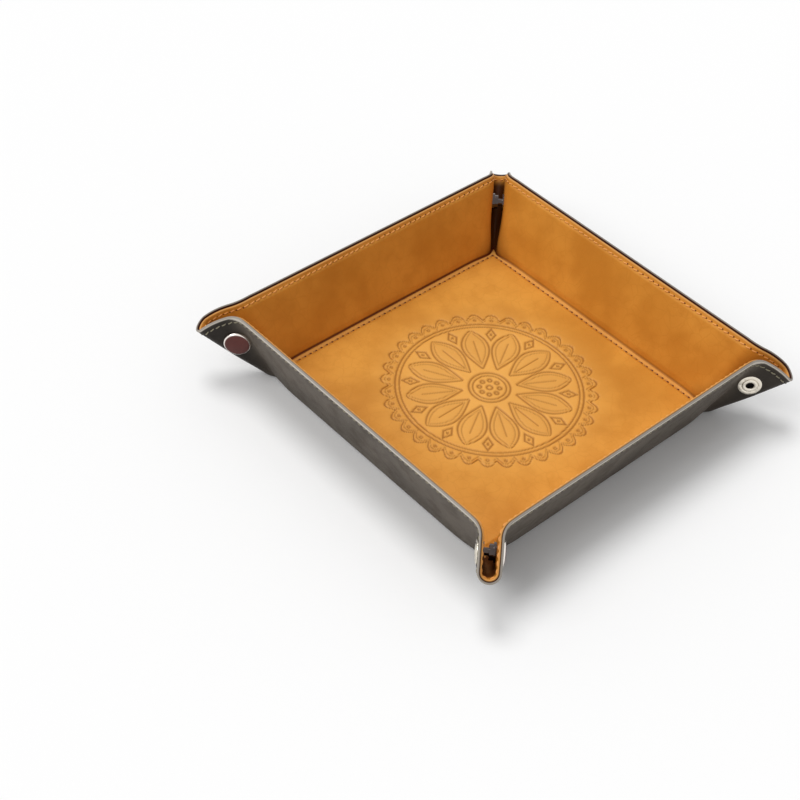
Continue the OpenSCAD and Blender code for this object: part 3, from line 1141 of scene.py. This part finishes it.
@dataclass(frozen=True)
class Skin:
    """One of the two leathers: how its faces lie, and how they are coloured, painted shade and highlight included, at
    each flat point.
    """

    side: Side
    finish: Leather
    thick: float
    seam_round: float
    rim_in: float
    rim_round: float = 0.5
    groove_depth: float = 0.16
    groove_half: float = 0.6
    stitch_in: float = 4.0

    def inset(self, x: Array, y: Array) -> Array:
        """Distance of flat points from this leather's own edge."""
        return np.maximum(np.where(y > 0.0, SHEET.inset(x, y), 99.0) - self.rim_in, 0.0)

    def lift(self, x: Array, y: Array) -> Array:
        """How far a board lifts this leather at flat points."""
        return SHEET.board_lift(x, y) if self.side is Side.TAN else np.zeros_like(x)

    def marks(self, x: Array, y: Array, spot: Spot) -> dict[str, Array]:
        """Works out where edges, seams, painted highlight and painted shade colour a piece.

        Args:
            x: Flat places along the crease.
            y: Flat places up from the crease.
            spot: Where the piece goes.

        Returns:
            Shares from 0 to 1 for each mark, on the upper face and then on the lower one.
        """
        e = self.inset(np.abs(x), y)
        across, a = SHEET.bend_coords(np.abs(x), y)[0], SHEET.fold_coords(np.abs(x), y)[0]
        if self.side is Side.TAN:
            # painted shade darkens the corner pockets close to the diagonal, and fades out over the flap
            rims, seams = [bell(e, 0.8)] * 2, [0.25 * bell(e, 0.1), bell(e, 0.8)]
            fold = 1.25 * (1.0 - smoothstep(2.5, 9.5, a)) + 0.4 * (1.0 - smoothstep(7.0, 18.0, a))
            fold = np.clip(fold, 0.0, 1.25) * smoothstep(0.6, 7.0, e) * (y > 0.0)
        else:
            # the pale edge band, a painted highlight of light on the rolled edge, is 3.6 mm wide along the wall and
            # 1.3 mm on the flaps
            band = 3.6 - 2.3 * smoothstep(-3.0, 5.0, across)
            rim = 1.0 - smoothstep(0.65 * band, 1.05 * band, e)
            rims = [0.3 * rim, rim * (0.45 + 0.55 * smoothstep(0.15, 0.8, e))]
            seams = [smoothstep(0.3, 0.6, e), np.zeros_like(e)]
            # painted shade darkens the grey flaps, the cap flaps most
            flap_shade = np.where((x > 0.0) & (spot.end is End.CAP), 1.25, 1.0)
            fold = smoothstep(-5.0, 9.0, across) * smoothstep(0.5 * band, 1.2 * band, e) * (y > 0.0) * flap_shade
        # painted shade along the crease, strongest at the back wall
        crease = crease_shade(y) * spot.wall.crease_shadow_strength
        return {"rim": np.concatenate(rims), "seam": np.concatenate(seams), "fold": np.tile(fold, 2),
                "crease": np.tile(crease, 2)}

    def build(self, name: str, grid: FlatGrid, spot: Spot) -> bpy.types.Object:
        """Folds a flat grid into the tray and gives it its thickness.

        Args:
            name: Name of the piece.
            grid: Flat points of the piece, drawn at the cap end of the back wall.
            spot: Where the piece goes.

        Returns:
            The piece.
        """
        x, y = grid.x.ravel(), grid.y.ravel()
        half = np.abs(x)
        mid, nor = SHEET.middle(half, y), SHEET.normal(half, y)
        for rows in (mid, nor):
            rows[x < 0.0, 0] *= -1.0
        e, lift = self.inset(half, y), self.lift(half, y)
        groove = self.groove_depth * bell(e + self.rim_in - self.stitch_in, self.groove_half)
        faces = [lift + self.thick - edge_drop(e, self.rim_round) - groove, lift + edge_drop(e, self.seam_round)]
        points = np.concatenate([mid + nor * (h * self.side.value)[:, None] for h in faces[::self.side.value]])
        points[:, 2] = np.maximum(points[:, 2], 0.0)
        quads = grid.quads()[:, ::spot.end.value]
        obj = mesh_object(name, spot.put(points) * MM, shell_faces(quads, len(x)), self.marks(x, y, spot))
        self.finish.dress(obj)
        return obj


@dataclass(frozen=True)
class LeatherTray:
    """The two leathers and the seams of the whole tray, built piece by piece."""

    tan: Skin = Skin(Side.TAN, TAN_LEATHER, SHEET.tan_t, 0.12, SHEET.tan_rim_in)
    grey: Skin = Skin(Side.GREY, GREY_LEATHER, SHEET.grey_t, 0.4, 0.0)
    rosette: Rosette = Rosette()
    kit: StitchKit = StitchKit()
    base_kit: StitchKit = StitchKit(length=1.9, thickness=0.6, rise=0.3, slant=0.0, hole_r=0.72, seed=11)
    stitch_pitch: float = 3.9
    stitch_sink: float = 0.1
    base_stitch_in: float = 3.8
    base_groove_depth: float = 0.14
    base_groove_half: float = 0.55
    rosette_reach: float = 63.0
    keep_thickness: float = 0.35

    def both(self, label: str, grid: Callable[[float], FlatGrid], spot: Spot) -> dict[Side, bpy.types.Object]:
        """The tan and the grey piece of one place."""
        return {skin.side: skin.build(f"{label}_{skin.side.name.lower()}_leather", grid(skin.rim_in), spot)
                for skin in (self.tan, self.grey)}

    # Flat grids, drawn for x >= 0

    def wall_grid(self, edge: float) -> FlatGrid:
        """Lays out the whole wall between its two bend strips.

        Args:
            edge: How far the leather's edge is drawn in.

        Returns:
            The grid.
        """
        s = SHEET
        ys = merged_stops(spread(s.crease_reach, 6.2, 0.5), [7.0, 8.5], spread(8.5, s.wall_h - 6.5, 2.4),
                          [s.wall_h - e for e in rim_rows(edge)])
        # the side of the wall's panel is the line at bend_reach before the bend
        half_widths = s.bend_x + (np.array(ys) * math.sin(s.lean) - s.bend_reach) / math.cos(s.lean)
        return row_grid(ys, half_widths, both_ways(merged_stops(spread(0.0, 0.94, 0.03), spread(0.94, 1.0, 0.006))))

    def crease_grid(self, edge: float) -> FlatGrid:
        """The strip over the crease between base and wall, which doesn't reach the rim."""
        ys = spread(-SHEET.crease_reach, SHEET.crease_reach, 0.22)
        return row_grid(ys, SHEET.half_base - SHEET.curl_edge * ROOT2 + np.maximum(ys, 0.0), spread(-1.0, 1.0, 0.02))

    def bend_grid(self, edge: float) -> FlatGrid:
        """Lays out the strip over the bend between wall and flap.

        Args:
            edge: How far the leather's edge is drawn in.

        Returns:
            The grid.
        """
        s = SHEET
        starts = []
        for across in spread(-s.bend_reach, s.bend_reach, 0.6):
            on_crease = (s.crease_reach + across * math.sin(s.lean)) / math.cos(s.lean)
            starts.append(s.from_bend(across, max(on_crease, s.curl_line(across))))
        return column_grid(starts, [s.bend_way] * len(starts), 2.0, edge, (0.4, 0.9, 1.6))

    def flap_grid(self, edge: float) -> FlatGrid:
        """Lays out the flat part of a flap, between its bend strip and its fin fold.

        Args:
            edge: How far the leather's edge is drawn in.

        Returns:
            The grid.
        """
        apex = SHEET.from_bend(SHEET.bend_reach, SHEET.curl_line(SHEET.bend_reach))
        angles = np.linspace(math.pi / 2.0 - SHEET.lean, math.pi / 4.0, 20)
        return column_grid([apex] * len(angles), [(math.cos(a), math.sin(a)) for a in angles], 1.8, edge, (0.6,))

    def curl_grid(self, edge: float) -> FlatGrid:
        """The fin fold: from the flap to the corner's diagonal."""
        starts = [SHEET.from_fold(a, -a) for a in np.linspace(SHEET.curl_edge, 0.0, 17)]
        return column_grid(starts, [(1.0 / ROOT2, 1.0 / ROOT2)] * 17, 1.2, edge, (0.35, 0.8, 1.3, 1.9, 2.6, 3.5))

    def base_grid(self, fine: float) -> FlatGrid:
        """Lays out the base, without the crease strips' shares of it.

        Args:
            fine: Spacing of the points below the rosette.

        Returns:
            The grid, with its y measured from the back crease.
        """
        half, edge = SHEET.half_base, SHEET.half_base - SHEET.crease_reach
        cut = half - SHEET.curl_edge * ROOT2
        # fine rows lie round the seam's groove and on the way down from the board to the crease
        bounds = [0.0, self.rosette_reach, cut, 79.8, 81.4, 83.0, edge, half]
        steps = [fine, 2.6, 1.2, 0.32, 0.27, 0.42, 0.28]
        stops = np.array(both_ways(merged_stops(*map(spread, bounds, bounds[1:], steps))))
        mid = np.abs(stops[:-1] + stops[1:]) / 2.0
        (x, y), (mx, my) = np.meshgrid(stops, stops), np.meshgrid(mid, mid)
        return FlatGrid(x, y - half, ~(((mx > edge) & (my < cut)) | ((my > edge) & (mx < cut))))

    # Pieces

    def base(self) -> Pieces:
        """Builds the base's two leathers and its seam.

        Returns:
            The pieces.
        """
        fine = 0.7
        made = {skin.side: self.base_leather(f"base_{skin.side.name.lower()}_leather", skin, self.base_grid(step))
                for skin, step in ((self.tan, fine), (self.grey, 3.0))}
        for side, obj in made.items():
            yield carry(obj, "base", "base_" + side.cad_word)
        line = SHEET.half_base - self.base_stitch_in
        count = round(2.0 * line / self.stitch_pitch)
        rows = np.array([[-line + (k + 0.5) * 2.0 * line / count, line, SHEET.grey_t + SHEET.tan_t - self.stitch_sink]
                         for k in range(count)])
        points = [StitchPoint(place, Spot(wall).put(np.array([1.0, 0.0, 0.0])), np.array([0.0, 0.0, 1.0]))
                  for wall in Wall for place in Spot(wall).put(rows)]
        yield carry(self.base_kit.lay("base_seam", [(BASE_THREAD, points)]), "base", "base_stitching")

    def base_leather(self, name: str, skin: Skin, grid: FlatGrid) -> bpy.types.Object:
        """One leather of the base, worked out in the tray's own x and y, so that all four corners match.

        Args:
            name: Name of the piece.
            skin: The leather.
            grid: Its points.

        Returns:
            The piece.
        """
        half, tan_side = SHEET.half_base, skin.side is Side.TAN
        x, y = grid.x.ravel(), grid.y.ravel() + half
        ax, ay = np.abs(x), np.abs(y)
        sign = np.stack([np.where(x < 0.0, -1.0, 1.0), np.where(y < 0.0, -1.0, 1.0), np.ones_like(x)], axis=-1)
        mid, nor = SHEET.middle(ax, ay - half) * sign, SHEET.normal(ax, ay - half) * sign
        edge = half - np.maximum(ax, ay)
        share = self.rosette.share(x, y) * tan_side
        lift = skin.lift(ax, ay - half)
        groove = self.base_groove_depth * bell(edge - self.base_stitch_in, self.base_groove_half)
        upper = lift + SHEET.tan_t - self.rosette.press * share - groove
        faces = (upper, lift) if tan_side else (lift, lift - SHEET.grey_t)
        points = np.concatenate([mid + nor * h[:, None] for h in faces])
        points[:, 2] = np.maximum(points[:, 2], 0.0)
        # painted shade along each crease, as strong as at its wall
        along, across = (np.where(v > 0.0, a.crease_shadow_strength, b.crease_shadow_strength)
                         for v, a, b in ((y, Wall.BACK, Wall.FRONT), (x, Wall.RIGHT, Wall.LEFT)))
        # the rim mark here is a light line between the crease and the seam
        marks = {"rim": 0.7 * smoothstep(0.9, 1.7, edge) * (1.0 - smoothstep(2.7, 3.4, edge)) * tan_side,
                 "crease": crease_shade(-edge) * np.where(ay > ax, along, across),
                 "press": share, "rub": self.rosette.rub(x, y, share) * tan_side}
        obj = mesh_object(name, points * MM, self.plain_below(grid, ax, ay),
                          {key: np.tile(values, 2) for key, values in marks.items()})
        skin.finish.dress(obj)
        return obj

    def plain_below(self, grid: FlatGrid, ax: Array, ay: Array) -> list[list[int]]:
        """Lists the base's faces, with one flat face below the rosette, where the leather lies on its board.

        Args:
            grid: Flat points of the base.
            ax: Distance of each point from the middle, across.
            ay: Distance of each point from the middle, along.

        Returns:
            The faces.
        """
        count = len(ax)
        inner = (ax < self.rosette_reach + 1e-3) & (ay < self.rosette_reach + 1e-3)
        below = np.concatenate([np.zeros(count, bool), inner])
        kept = [f for f in shell_faces(grid.quads(), count) if not all(below[v] for v in f)]
        rows, cols = (np.flatnonzero(inner.reshape(grid.x.shape).any(axis=axis)) for axis in (1, 0))
        at = np.arange(count).reshape(grid.x.shape) + count
        r0, r1, c0, c1 = rows[0], rows[-1], cols[0], cols[-1]
        loop = [*at[r0, c0:c1], *at[r0:r1, c1], *at[r1, c1:c0:-1], *at[r1:r0:-1, c0]]
        return kept + [[int(v) for v in reversed(loop)]]

    def fold_span(self, first: Flat, last: Flat, draw: float, spot: Spot) -> list[Triple]:
        """Start and end of a blend over a fold, drawn in so that both faces of its edges stay whole.

        Args:
            first: Flat point where the strip starts.
            last: Flat point where the strip ends.
            draw: How far each end is drawn in.
            spot: Where the strip goes.

        Returns:
            The two points, in metres.
        """
        a, b = SHEET.middle(*np.array([first, last]).T)
        way = unit(b - a)
        return [tuple(map(float, row)) for row in spot.put(np.array([a + way * draw, b - way * draw])) * MM]

    def bend_span(self, spot: Spot) -> list[Triple]:
        """Start and end of the blend over a bend."""
        s, draw = SHEET, (SHEET.board_t + SHEET.tan_t + 0.05) * math.sin(SHEET.turn / 2.0)
        return self.fold_span(*(s.from_bend(v, s.snap_up_bend) for v in (-s.bend_reach, s.bend_reach)), draw, spot)

    def squash(self, obj: bpy.types.Object, spot: Spot, side: Side) -> bpy.types.Object:
        """Fixes a piece of a flap's fin fold to its flap's body, and gives it a mesh of its own.

        Args:
            obj: The piece on the fold.
            spot: Where the fold is.
            side: The leather it belongs to.

        Returns:
            The piece.
        """
        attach(obj, spot.flap)
        x, y = SHEET.from_bend(np.array([SHEET.snap_from_bend]), np.array([SHEET.snap_up_bend]))
        nor = SHEET.normal(x, y)[0]
        level = SHEET.tan_t if side is Side.TAN else -SHEET.grey_t
        axis, anchor = spot.put(np.array([nor, SHEET.middle(x, y)[0] + nor * level]))
        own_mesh(obj)
        return obj

    def wall(self, wall: Wall) -> Pieces:
        """Builds a wall's two leathers, and the strip over its crease.

        Args:
            wall: The wall.

        Returns:
            The pieces.
        """
        s, spot = SHEET, Spot(wall)
        start, end = self.fold_span((0.0, -s.crease_reach), (0.0, s.crease_reach),
                                    (s.tan_t + 0.05) * math.sin(s.tilt / 2.0), spot)
        for obj in self.both(wall.label + "_crease", self.crease_grid, spot).values():
            spot.body
            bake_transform(obj)
            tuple(start)
            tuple(end)
            yield obj
        for side, obj in self.both(spot.body, self.wall_grid, spot).items():
            yield carry(obj, spot.body, f"{spot.body}_{side.cad_word}")

    def corner(self, spot: Spot) -> Pieces:
        """Builds the bend strip, the flap and the fin fold at one end of a wall.

        Args:
            spot: The end.

        Returns:
            The pieces.
        """
        start, end = self.bend_span(spot)
        for obj in self.both(spot.flap + "_bend", self.bend_grid, spot).values():
            spot.body
            spot.flap
            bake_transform(obj)
            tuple(start)
            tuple(end)
            yield obj
        for side, obj in self.both(spot.flap, self.flap_grid, spot).items():
            yield carry(obj, spot.flap, f"{spot.flap}_{side.cad_word}")
        for side, obj in self.both(spot.flap + "_fin_fold", self.curl_grid, spot).items():
            yield self.squash(obj, spot, side)

    def rim_path(self, inset: float) -> tuple[Array, Array, Array, Array]:
        """Spaces the stitches along half a wall's rim.

        Args:
            inset: How far in from the sheet's edge the seam runs.

        Returns:
            Flat x and y of each stitch, and the two parts of its direction.
        """
        (ox, oy), r = SHEET.arc, SHEET.corner_r - inset
        length = ox + r * math.pi / 4.0
        count = round(length / self.stitch_pitch)
        d = (np.arange(count) + 0.5) * length / count
        a = np.maximum(d - ox, 0.0) / r
        x = np.where(d < ox, d, ox + r * np.sin(a))
        y = np.where(d < ox, SHEET.wall_h - inset, oy + r * np.cos(a))
        return x, y, np.cos(a), -np.sin(a)

    def rim_stitches(self, spot: Spot) -> list[list[StitchPoint]]:
        """Lays out the rim's stitches at one end of a wall, on both faces.

        Args:
            spot: The end.

        Returns:
            The stitches on the wall, on the bend, on the flap and on the fin fold.
        """
        s, step = SHEET, 0.4
        x, y, dx, dy = self.rim_path(self.tan.stitch_in)
        mid, nor = s.middle(x, y), s.normal(x, y)
        along = unit(s.middle(x + dx * step, y + dy * step) - s.middle(x - dx * step, y - dy * step))
        across, a = s.bend_coords(x, y)[0], s.fold_coords(x, y)[0]
        region = np.select([across < -s.bend_reach, across < s.bend_reach, a > s.curl_edge], [0, 1, 2], 3)
        groups: list[list[StitchPoint]] = [[], [], [], []]
        for skin in (self.tan, self.grey):
            face = skin.side
            height = (skin.thick - self.stitch_sink) * face.value + skin.lift(x, y)
            rows = [spot.put(v) for v in (mid + nor * height[:, None], along, nor * face.value)]
            for where, place, way, up in zip(region, *rows):
                groups[where].append(StitchPoint(place, way, up, face))
        return groups

    def two_faced(self, name: str, points: Sequence[StitchPoint]) -> bpy.types.Object:
        """Stitches with the tan thread on the tan face and the beige thread on the grey face."""
        rows = [(thread, [p for p in points if p.face is face]) for face, thread in RIM_THREADS.items()]
        return self.kit.lay(name, [row for row in rows if row[1]])

    def rim_seam(self, wall: Wall) -> Pieces:
        """Sews the rim of one wall and of its two flaps.

        Args:
            wall: The wall.

        Returns:
            The pieces.
        """
        on_wall: list[StitchPoint] = []
        for spot in (Spot(wall, end) for end in End):
            on_end, on_bend, on_flap, on_fold = self.rim_stitches(spot)
            on_wall += on_end
            start, end = self.bend_span(spot)
            bend = self.two_faced(spot.flap + "_bend_seam", on_bend)
            spot.body
            spot.flap
            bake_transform(bend)
            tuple(start)
            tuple(end)
            yield bend
            yield carry(self.two_faced(spot.flap + "_seam", on_flap), spot.flap, spot.flap + "_stitching")
            for face in Side:
                name, points = f"{spot.flap}_fin_fold_{face.name.lower()}_seam", [p for p in on_fold if p.face is face]
                yield self.squash(self.two_faced(name, points), spot, face)
        body = Spot(wall).body
        yield carry(self.two_faced(body + "_seam", on_wall), body, body + "_stitching")

    def build(self) -> Pieces:
        """Builds every leather piece and every seam.

        Returns:
            The pieces.
        """
        yield from self.base()
        for wall in Wall:
            yield from self.wall(wall)
            for end in End:
                yield from self.corner(Spot(wall, end))
            yield from self.rim_seam(wall)


@dataclass(frozen=True)
class Snap:
    """A turned snap part on the grey face of a flap, at the place that the leather rule gives it."""

    end: End
    plate: PlatedMetal
    made: str
    replaced: str
    rays: int = 0
    ray_depth: float = 0.0
    around: int = 96
    pin_r: float = 0.05
    flare: float = 0.4
    flare_t: float = 0.3

    def profile(self) -> list[Triple]:
        """Closed profile of the part: distance from its axis, height, and how far the rays press it."""
        return []

    def marked(self, r: Array, h: Array) -> Array:
        """Where the plate has its second colour: a painted highlight on the cap, painted shade in the ring's bore."""
        return np.zeros_like(r)

    def build(self, wall: Wall) -> bpy.types.Object:
        """Turns the profile about the part's axis, on the grey face of a wall's flap.

        Args:
            wall: The wall it belongs to.

        Returns:
            The part.
        """
        s, spot = SHEET, Spot(wall, self.end)
        x, y = s.from_bend(np.array([s.snap_from_bend]), np.array([s.snap_up_bend]))
        nor = s.normal(x, y)[0]
        place, out = spot.put(np.array([s.middle(x, y)[0] - nor * s.grey_t, -nor]))
        u = unit(np.cross(out, np.array([0.0, 0.0, 1.0])))
        r, h, pressed = np.array(self.profile()).T
        a = 2.0 * math.pi * np.arange(self.around) / self.around
        way = u * np.cos(a)[:, None] + np.cross(out, u) * np.sin(a)[:, None]
        ray = (0.5 + 0.5 * np.cos(self.rays * a)) ** 3 * (self.rays > 0)
        height = h - self.ray_depth * ray[:, None] * pressed
        verts = place + way[:, None, :] * r[:, None] + out * height[:, :, None]
        n = len(r)
        i, k = np.meshgrid(np.arange(self.around), np.arange(n), indexing="ij")
        j, m = (i + 1) % self.around, (k + 1) % n
        faces = np.stack([i * n + k, i * n + m, j * n + m, j * n + k], axis=-1).reshape(-1, 4)
        obj = mesh_object(f"{wall.label}_{self.made}", verts.reshape(-1, 3) * MM, faces,
                          {"mark": np.tile(self.marked(r, h), self.around)}, 35.0)
        self.plate.dress(obj)
        return carry(obj, spot.flap, f"{wall.label}_{self.replaced}")


@dataclass(frozen=True)
class SnapRing(Snap):
    """The pressed ring behind a stud: a flange with crimped rays, a rolled lip and a blind hollow rivet."""

    end: End = End.STUD
    plate: PlatedMetal = RING_PLATE
    made: str = "snap_ring"
    replaced: str = "snap_eyelet"
    rays: int = 8
    ray_depth: float = 0.16
    flange_r: float = 6.5
    flange_t: float = 0.6
    flange_foot: float = 0.15
    bulge_h: float = 0.2
    edge_r: float = 0.45
    lip_r: float = 4.3
    lip_h: float = 1.05
    mouth_r: float = 2.2
    bottom_h: float = 0.12
    tube_r: float = 1.4
    tube_depth: float = 3.3

    def profile(self) -> list[Triple]:
        """Draws the ring: bore, rolled lip, bulged flange, rounded edge and flared tube.

        Returns:
            The closed profile, as Snap.profile has it.
        """
        low, crown = -self.tube_depth, self.flange_r - self.edge_r
        rows = [(self.pin_r, low, 0.0), (self.pin_r, self.bottom_h, 0.0),
                (0.8 * self.mouth_r, self.bottom_h, 0.0), (0.95 * self.mouth_r, self.bottom_h + 0.1, 0.0)]
        middle, half = (self.mouth_r + self.lip_r) / 2.0, (self.lip_r - self.mouth_r) / 2.0
        for a in (math.pi * (1.0 - k / 9.0) for k in range(1, 10)):
            rows.append((middle + half * math.cos(a), 0.5 * self.lip_h * (1.0 + math.sin(a)), 0.0))
        for share in (k / 8.0 for k in range(1, 9)):
            bulge = math.sin(math.pi * share)
            rows.append((self.lip_r + (crown - self.lip_r) * share, self.flange_t + self.bulge_h * bulge, bulge))
        for a in (math.pi / 2.0 * (1.0 - k / 5.0) for k in range(1, 6)):
            rise = (self.flange_t - self.flange_foot) * math.sin(a)
            rows.append((crown + self.edge_r * math.cos(a), self.flange_foot + rise, 0.0))
        return rows + [(self.flange_r, 0.0, 0.0), (self.tube_r, 0.0, 0.0), (self.tube_r, low + self.flare_t, 0.0),
                       (self.tube_r + self.flare, low + self.flare_t, 0.0), (self.tube_r + self.flare, low, 0.0)]

    def marked(self, r: Array, h: Array) -> Array:
        """The painted shade in the bore."""
        return ((r < self.mouth_r + 0.12) & (h < 0.55 * self.lip_h)).astype(float)


@dataclass(frozen=True)
class SnapCap(Snap):
    """The cap that shows: a low dome on a post, with a painted highlight along the round shoulder of its dark plate.
    """

    end: End = End.CAP
    plate: PlatedMetal = CAP_PLATE
    made: str = "snap_dome"
    replaced: str = "snap_cap"
    cap_r: float = 7.5
    cap_h: float = 2.8
    crown_r: float = 5.0
    crown_drop: float = 0.4
    shoulder_from: float = math.radians(8.0)
    highlight_r: float = 6.55
    highlight_fade: float = 0.35
    under_h: float = 0.55
    post_r: float = 1.9
    post_depth: float = 3.1

    def profile(self) -> list[Triple]:
        """Draws the cap: dome, round shoulder, rolled rim and flared post.

        Returns:
            The closed profile, as Snap.profile has it.
        """
        low, drop, quarter = -self.post_depth, self.cap_h - self.crown_drop - self.under_h, math.pi / 2.0
        rows = [(self.pin_r, low), (self.pin_r, self.cap_h)]
        rows += [(self.crown_r * k / 8.0, self.cap_h - self.crown_drop * (k / 8.0) ** 2) for k in range(1, 9)]
        for a in (self.shoulder_from + (quarter - self.shoulder_from) * k / 14.0 for k in range(1, 15)):
            rows.append((self.crown_r + (self.cap_r - self.crown_r) * math.sin(a), self.under_h + drop * math.cos(a)))
        for a in (quarter * k / 4.0 for k in range(1, 5)):
            rows.append((self.cap_r - self.under_h * (1.0 - math.cos(a)), self.under_h * (1.0 - math.sin(a))))
        rows += [(self.post_r, 0.0), (self.post_r, low + self.flare_t), (self.post_r + self.flare, low + self.flare_t),
                 (self.post_r + self.flare, low)]
        return [(r, h, 0.0) for r, h in rows]

    def marked(self, r: Array, h: Array) -> Array:
        """The painted highlight on the shoulder."""
        return smoothstep(self.highlight_r, self.highlight_r + self.highlight_fade, r)


@dataclass(frozen=True)
class Snaps:
    """The parts of the four snaps that show."""

    parts: tuple[Snap, ...] = (SnapRing(), SnapCap())

    def build(self) -> Pieces:
        """Builds each wall's ring and cap."""
        return (part.build(wall) for wall in Wall for part in self.parts)


@dataclass(frozen=True)
class CarriedOver:
    """The CAD pieces that stay as they are: the sockets, the studs and the boards."""

    metal_words: tuple[str, ...] = ("snap_socket", "snap_stud")

    def build(self) -> Pieces:
        """Gives each CAD piece that stays its finish.

        Returns:
            The pieces.
        """
        for name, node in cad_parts.items():
            if node.hide_render:
                continue
            finish = SOCKET_PLATE if name.endswith(self.metal_words) else BOARD
            for slot in node.material_slots:
                slot.material = finish.material()
            if not node.material_slots:
                node.data.materials.append(finish.material())
            yield node


@dataclass(frozen=True)
class Studio:
    """The white table, the soft light and the camera."""

    floor_half: float = 6.0
    floor_below: float = 0.0002
    sky: float = 0.47
    key: float = 1.06
    key_from: Triple = (0.1, 0.6, 1.5)
    key_width: float = math.radians(26.0)
    fill: float = 0.96
    fill_from: Triple = (-0.95, 0.42, 1.2)
    fill_width: float = math.radians(40.0)
    camera_at: Triple = (-0.48462, -0.4189, 0.60778)
    yaw: float = math.radians(44.82)
    pitch: float = math.radians(44.15)
    roll: float = math.radians(4.61)
    lens: float = 72.136

    def floor(self) -> bpy.types.Object:
        """Lays a wide matt white table, just under the tray.

        Returns:
            The table.
        """
        h, z = self.floor_half, -self.floor_below
        obj = mesh_object("white_table", np.array([(-h, -h, z), (h, -h, z), (h, h, z), (-h, h, z)]), [[0, 1, 2, 3]])
        obj.data.materials.append(TABLE.material())
        return obj

    def sky_light(self) -> None:
        """Makes an even sky, which the camera and gloss see as plain white."""
        world = bpy.data.worlds.new("white_studio")
        bpy.context.scene.world = world
        world.use_nodes = True
        tree = world.node_tree
        tree.nodes.clear()
        rays = add_node(tree, "ShaderNodeLightPath").node.outputs
        white: Any = 0.0
        for kind in ("Is Camera Ray", "Is Glossy Ray", "Is Transmission Ray"):
            white = add_node(tree, "ShaderNodeMath", {0: white, 1: rays[kind]}, operation="MAXIMUM")
        power = add_node(tree, "ShaderNodeMapRange", {"Value": white, "To Min": self.sky, "To Max": 1.0})
        sky = add_node(tree, "ShaderNodeBackground", {"Strength": power, "Color": (1.0, 1.0, 1.0, 1.0)})
        add_node(tree, "ShaderNodeOutputWorld", {"Surface": sky})

    def suns(self) -> Pieces:
        """Hangs two wide suns behind the tray.

        Returns:
            The suns.
        """
        for name, energy, origin, width in (("key_light", self.key, self.key_from, self.key_width),
                                            ("fill_light", self.fill, self.fill_from, self.fill_width)):
            sun = bpy.data.lights.new(name, "SUN")
            sun.energy, sun.angle = energy, width
            lamp = bpy.data.objects.new(name, sun)
            lamp.rotation_mode = "QUATERNION"
            lamp.rotation_quaternion = Vector(origin).to_track_quat("Z", "Y")
            bpy.context.scene.collection.objects.link(lamp)
            yield lamp

    def camera(self) -> bpy.types.Object:
        """Sets up the camera, where the tray's creases and rims fix it.

        Returns:
            The camera.
        """
        y, p, r = self.yaw, self.pitch, self.roll
        forward = Vector((math.sin(y) * math.cos(p), math.cos(y) * math.cos(p), -math.sin(p)))
        right = Vector((math.cos(y), -math.sin(y), 0.0))
        up = right.cross(forward)
        level, side = up * math.cos(r) - right * math.sin(r), right * math.cos(r) + up * math.sin(r)
        data = bpy.data.cameras.new("camera")
        data.sensor_width, data.lens = 36.0, self.lens
        data.clip_start, data.clip_end = 0.01, 50.0
        camera = bpy.data.objects.new("camera", data)
        turn = Matrix((side, level, -forward)).transposed().to_4x4()
        camera.matrix_world = Matrix.Translation(self.camera_at) @ turn
        bpy.context.scene.collection.objects.link(camera)
        bpy.context.scene.camera = camera
        return camera

    def build(self) -> Pieces:
        """Sets the stage.

        Returns:
            Its pieces.
        """
        bpy.context.scene.view_settings.view_transform = "Standard"
        yield self.floor()
        self.sky_light()
        yield from self.suns()
        yield self.camera()


def main() -> None:
    """Builds the tray piece by piece, then the stage."""
    logging.basicConfig(level=logging.INFO, format="%(name)s: %(message)s")
    for assembly in (LeatherTray(), Snaps(), CarriedOver(), Studio()):
        for piece in assembly.build():
            looks = " and ".join(slot.name for slot in piece.material_slots if slot.name)
            log.info("%s: %s", piece.name, looks or piece.type.lower())


if __name__ == "__main__":
    main()
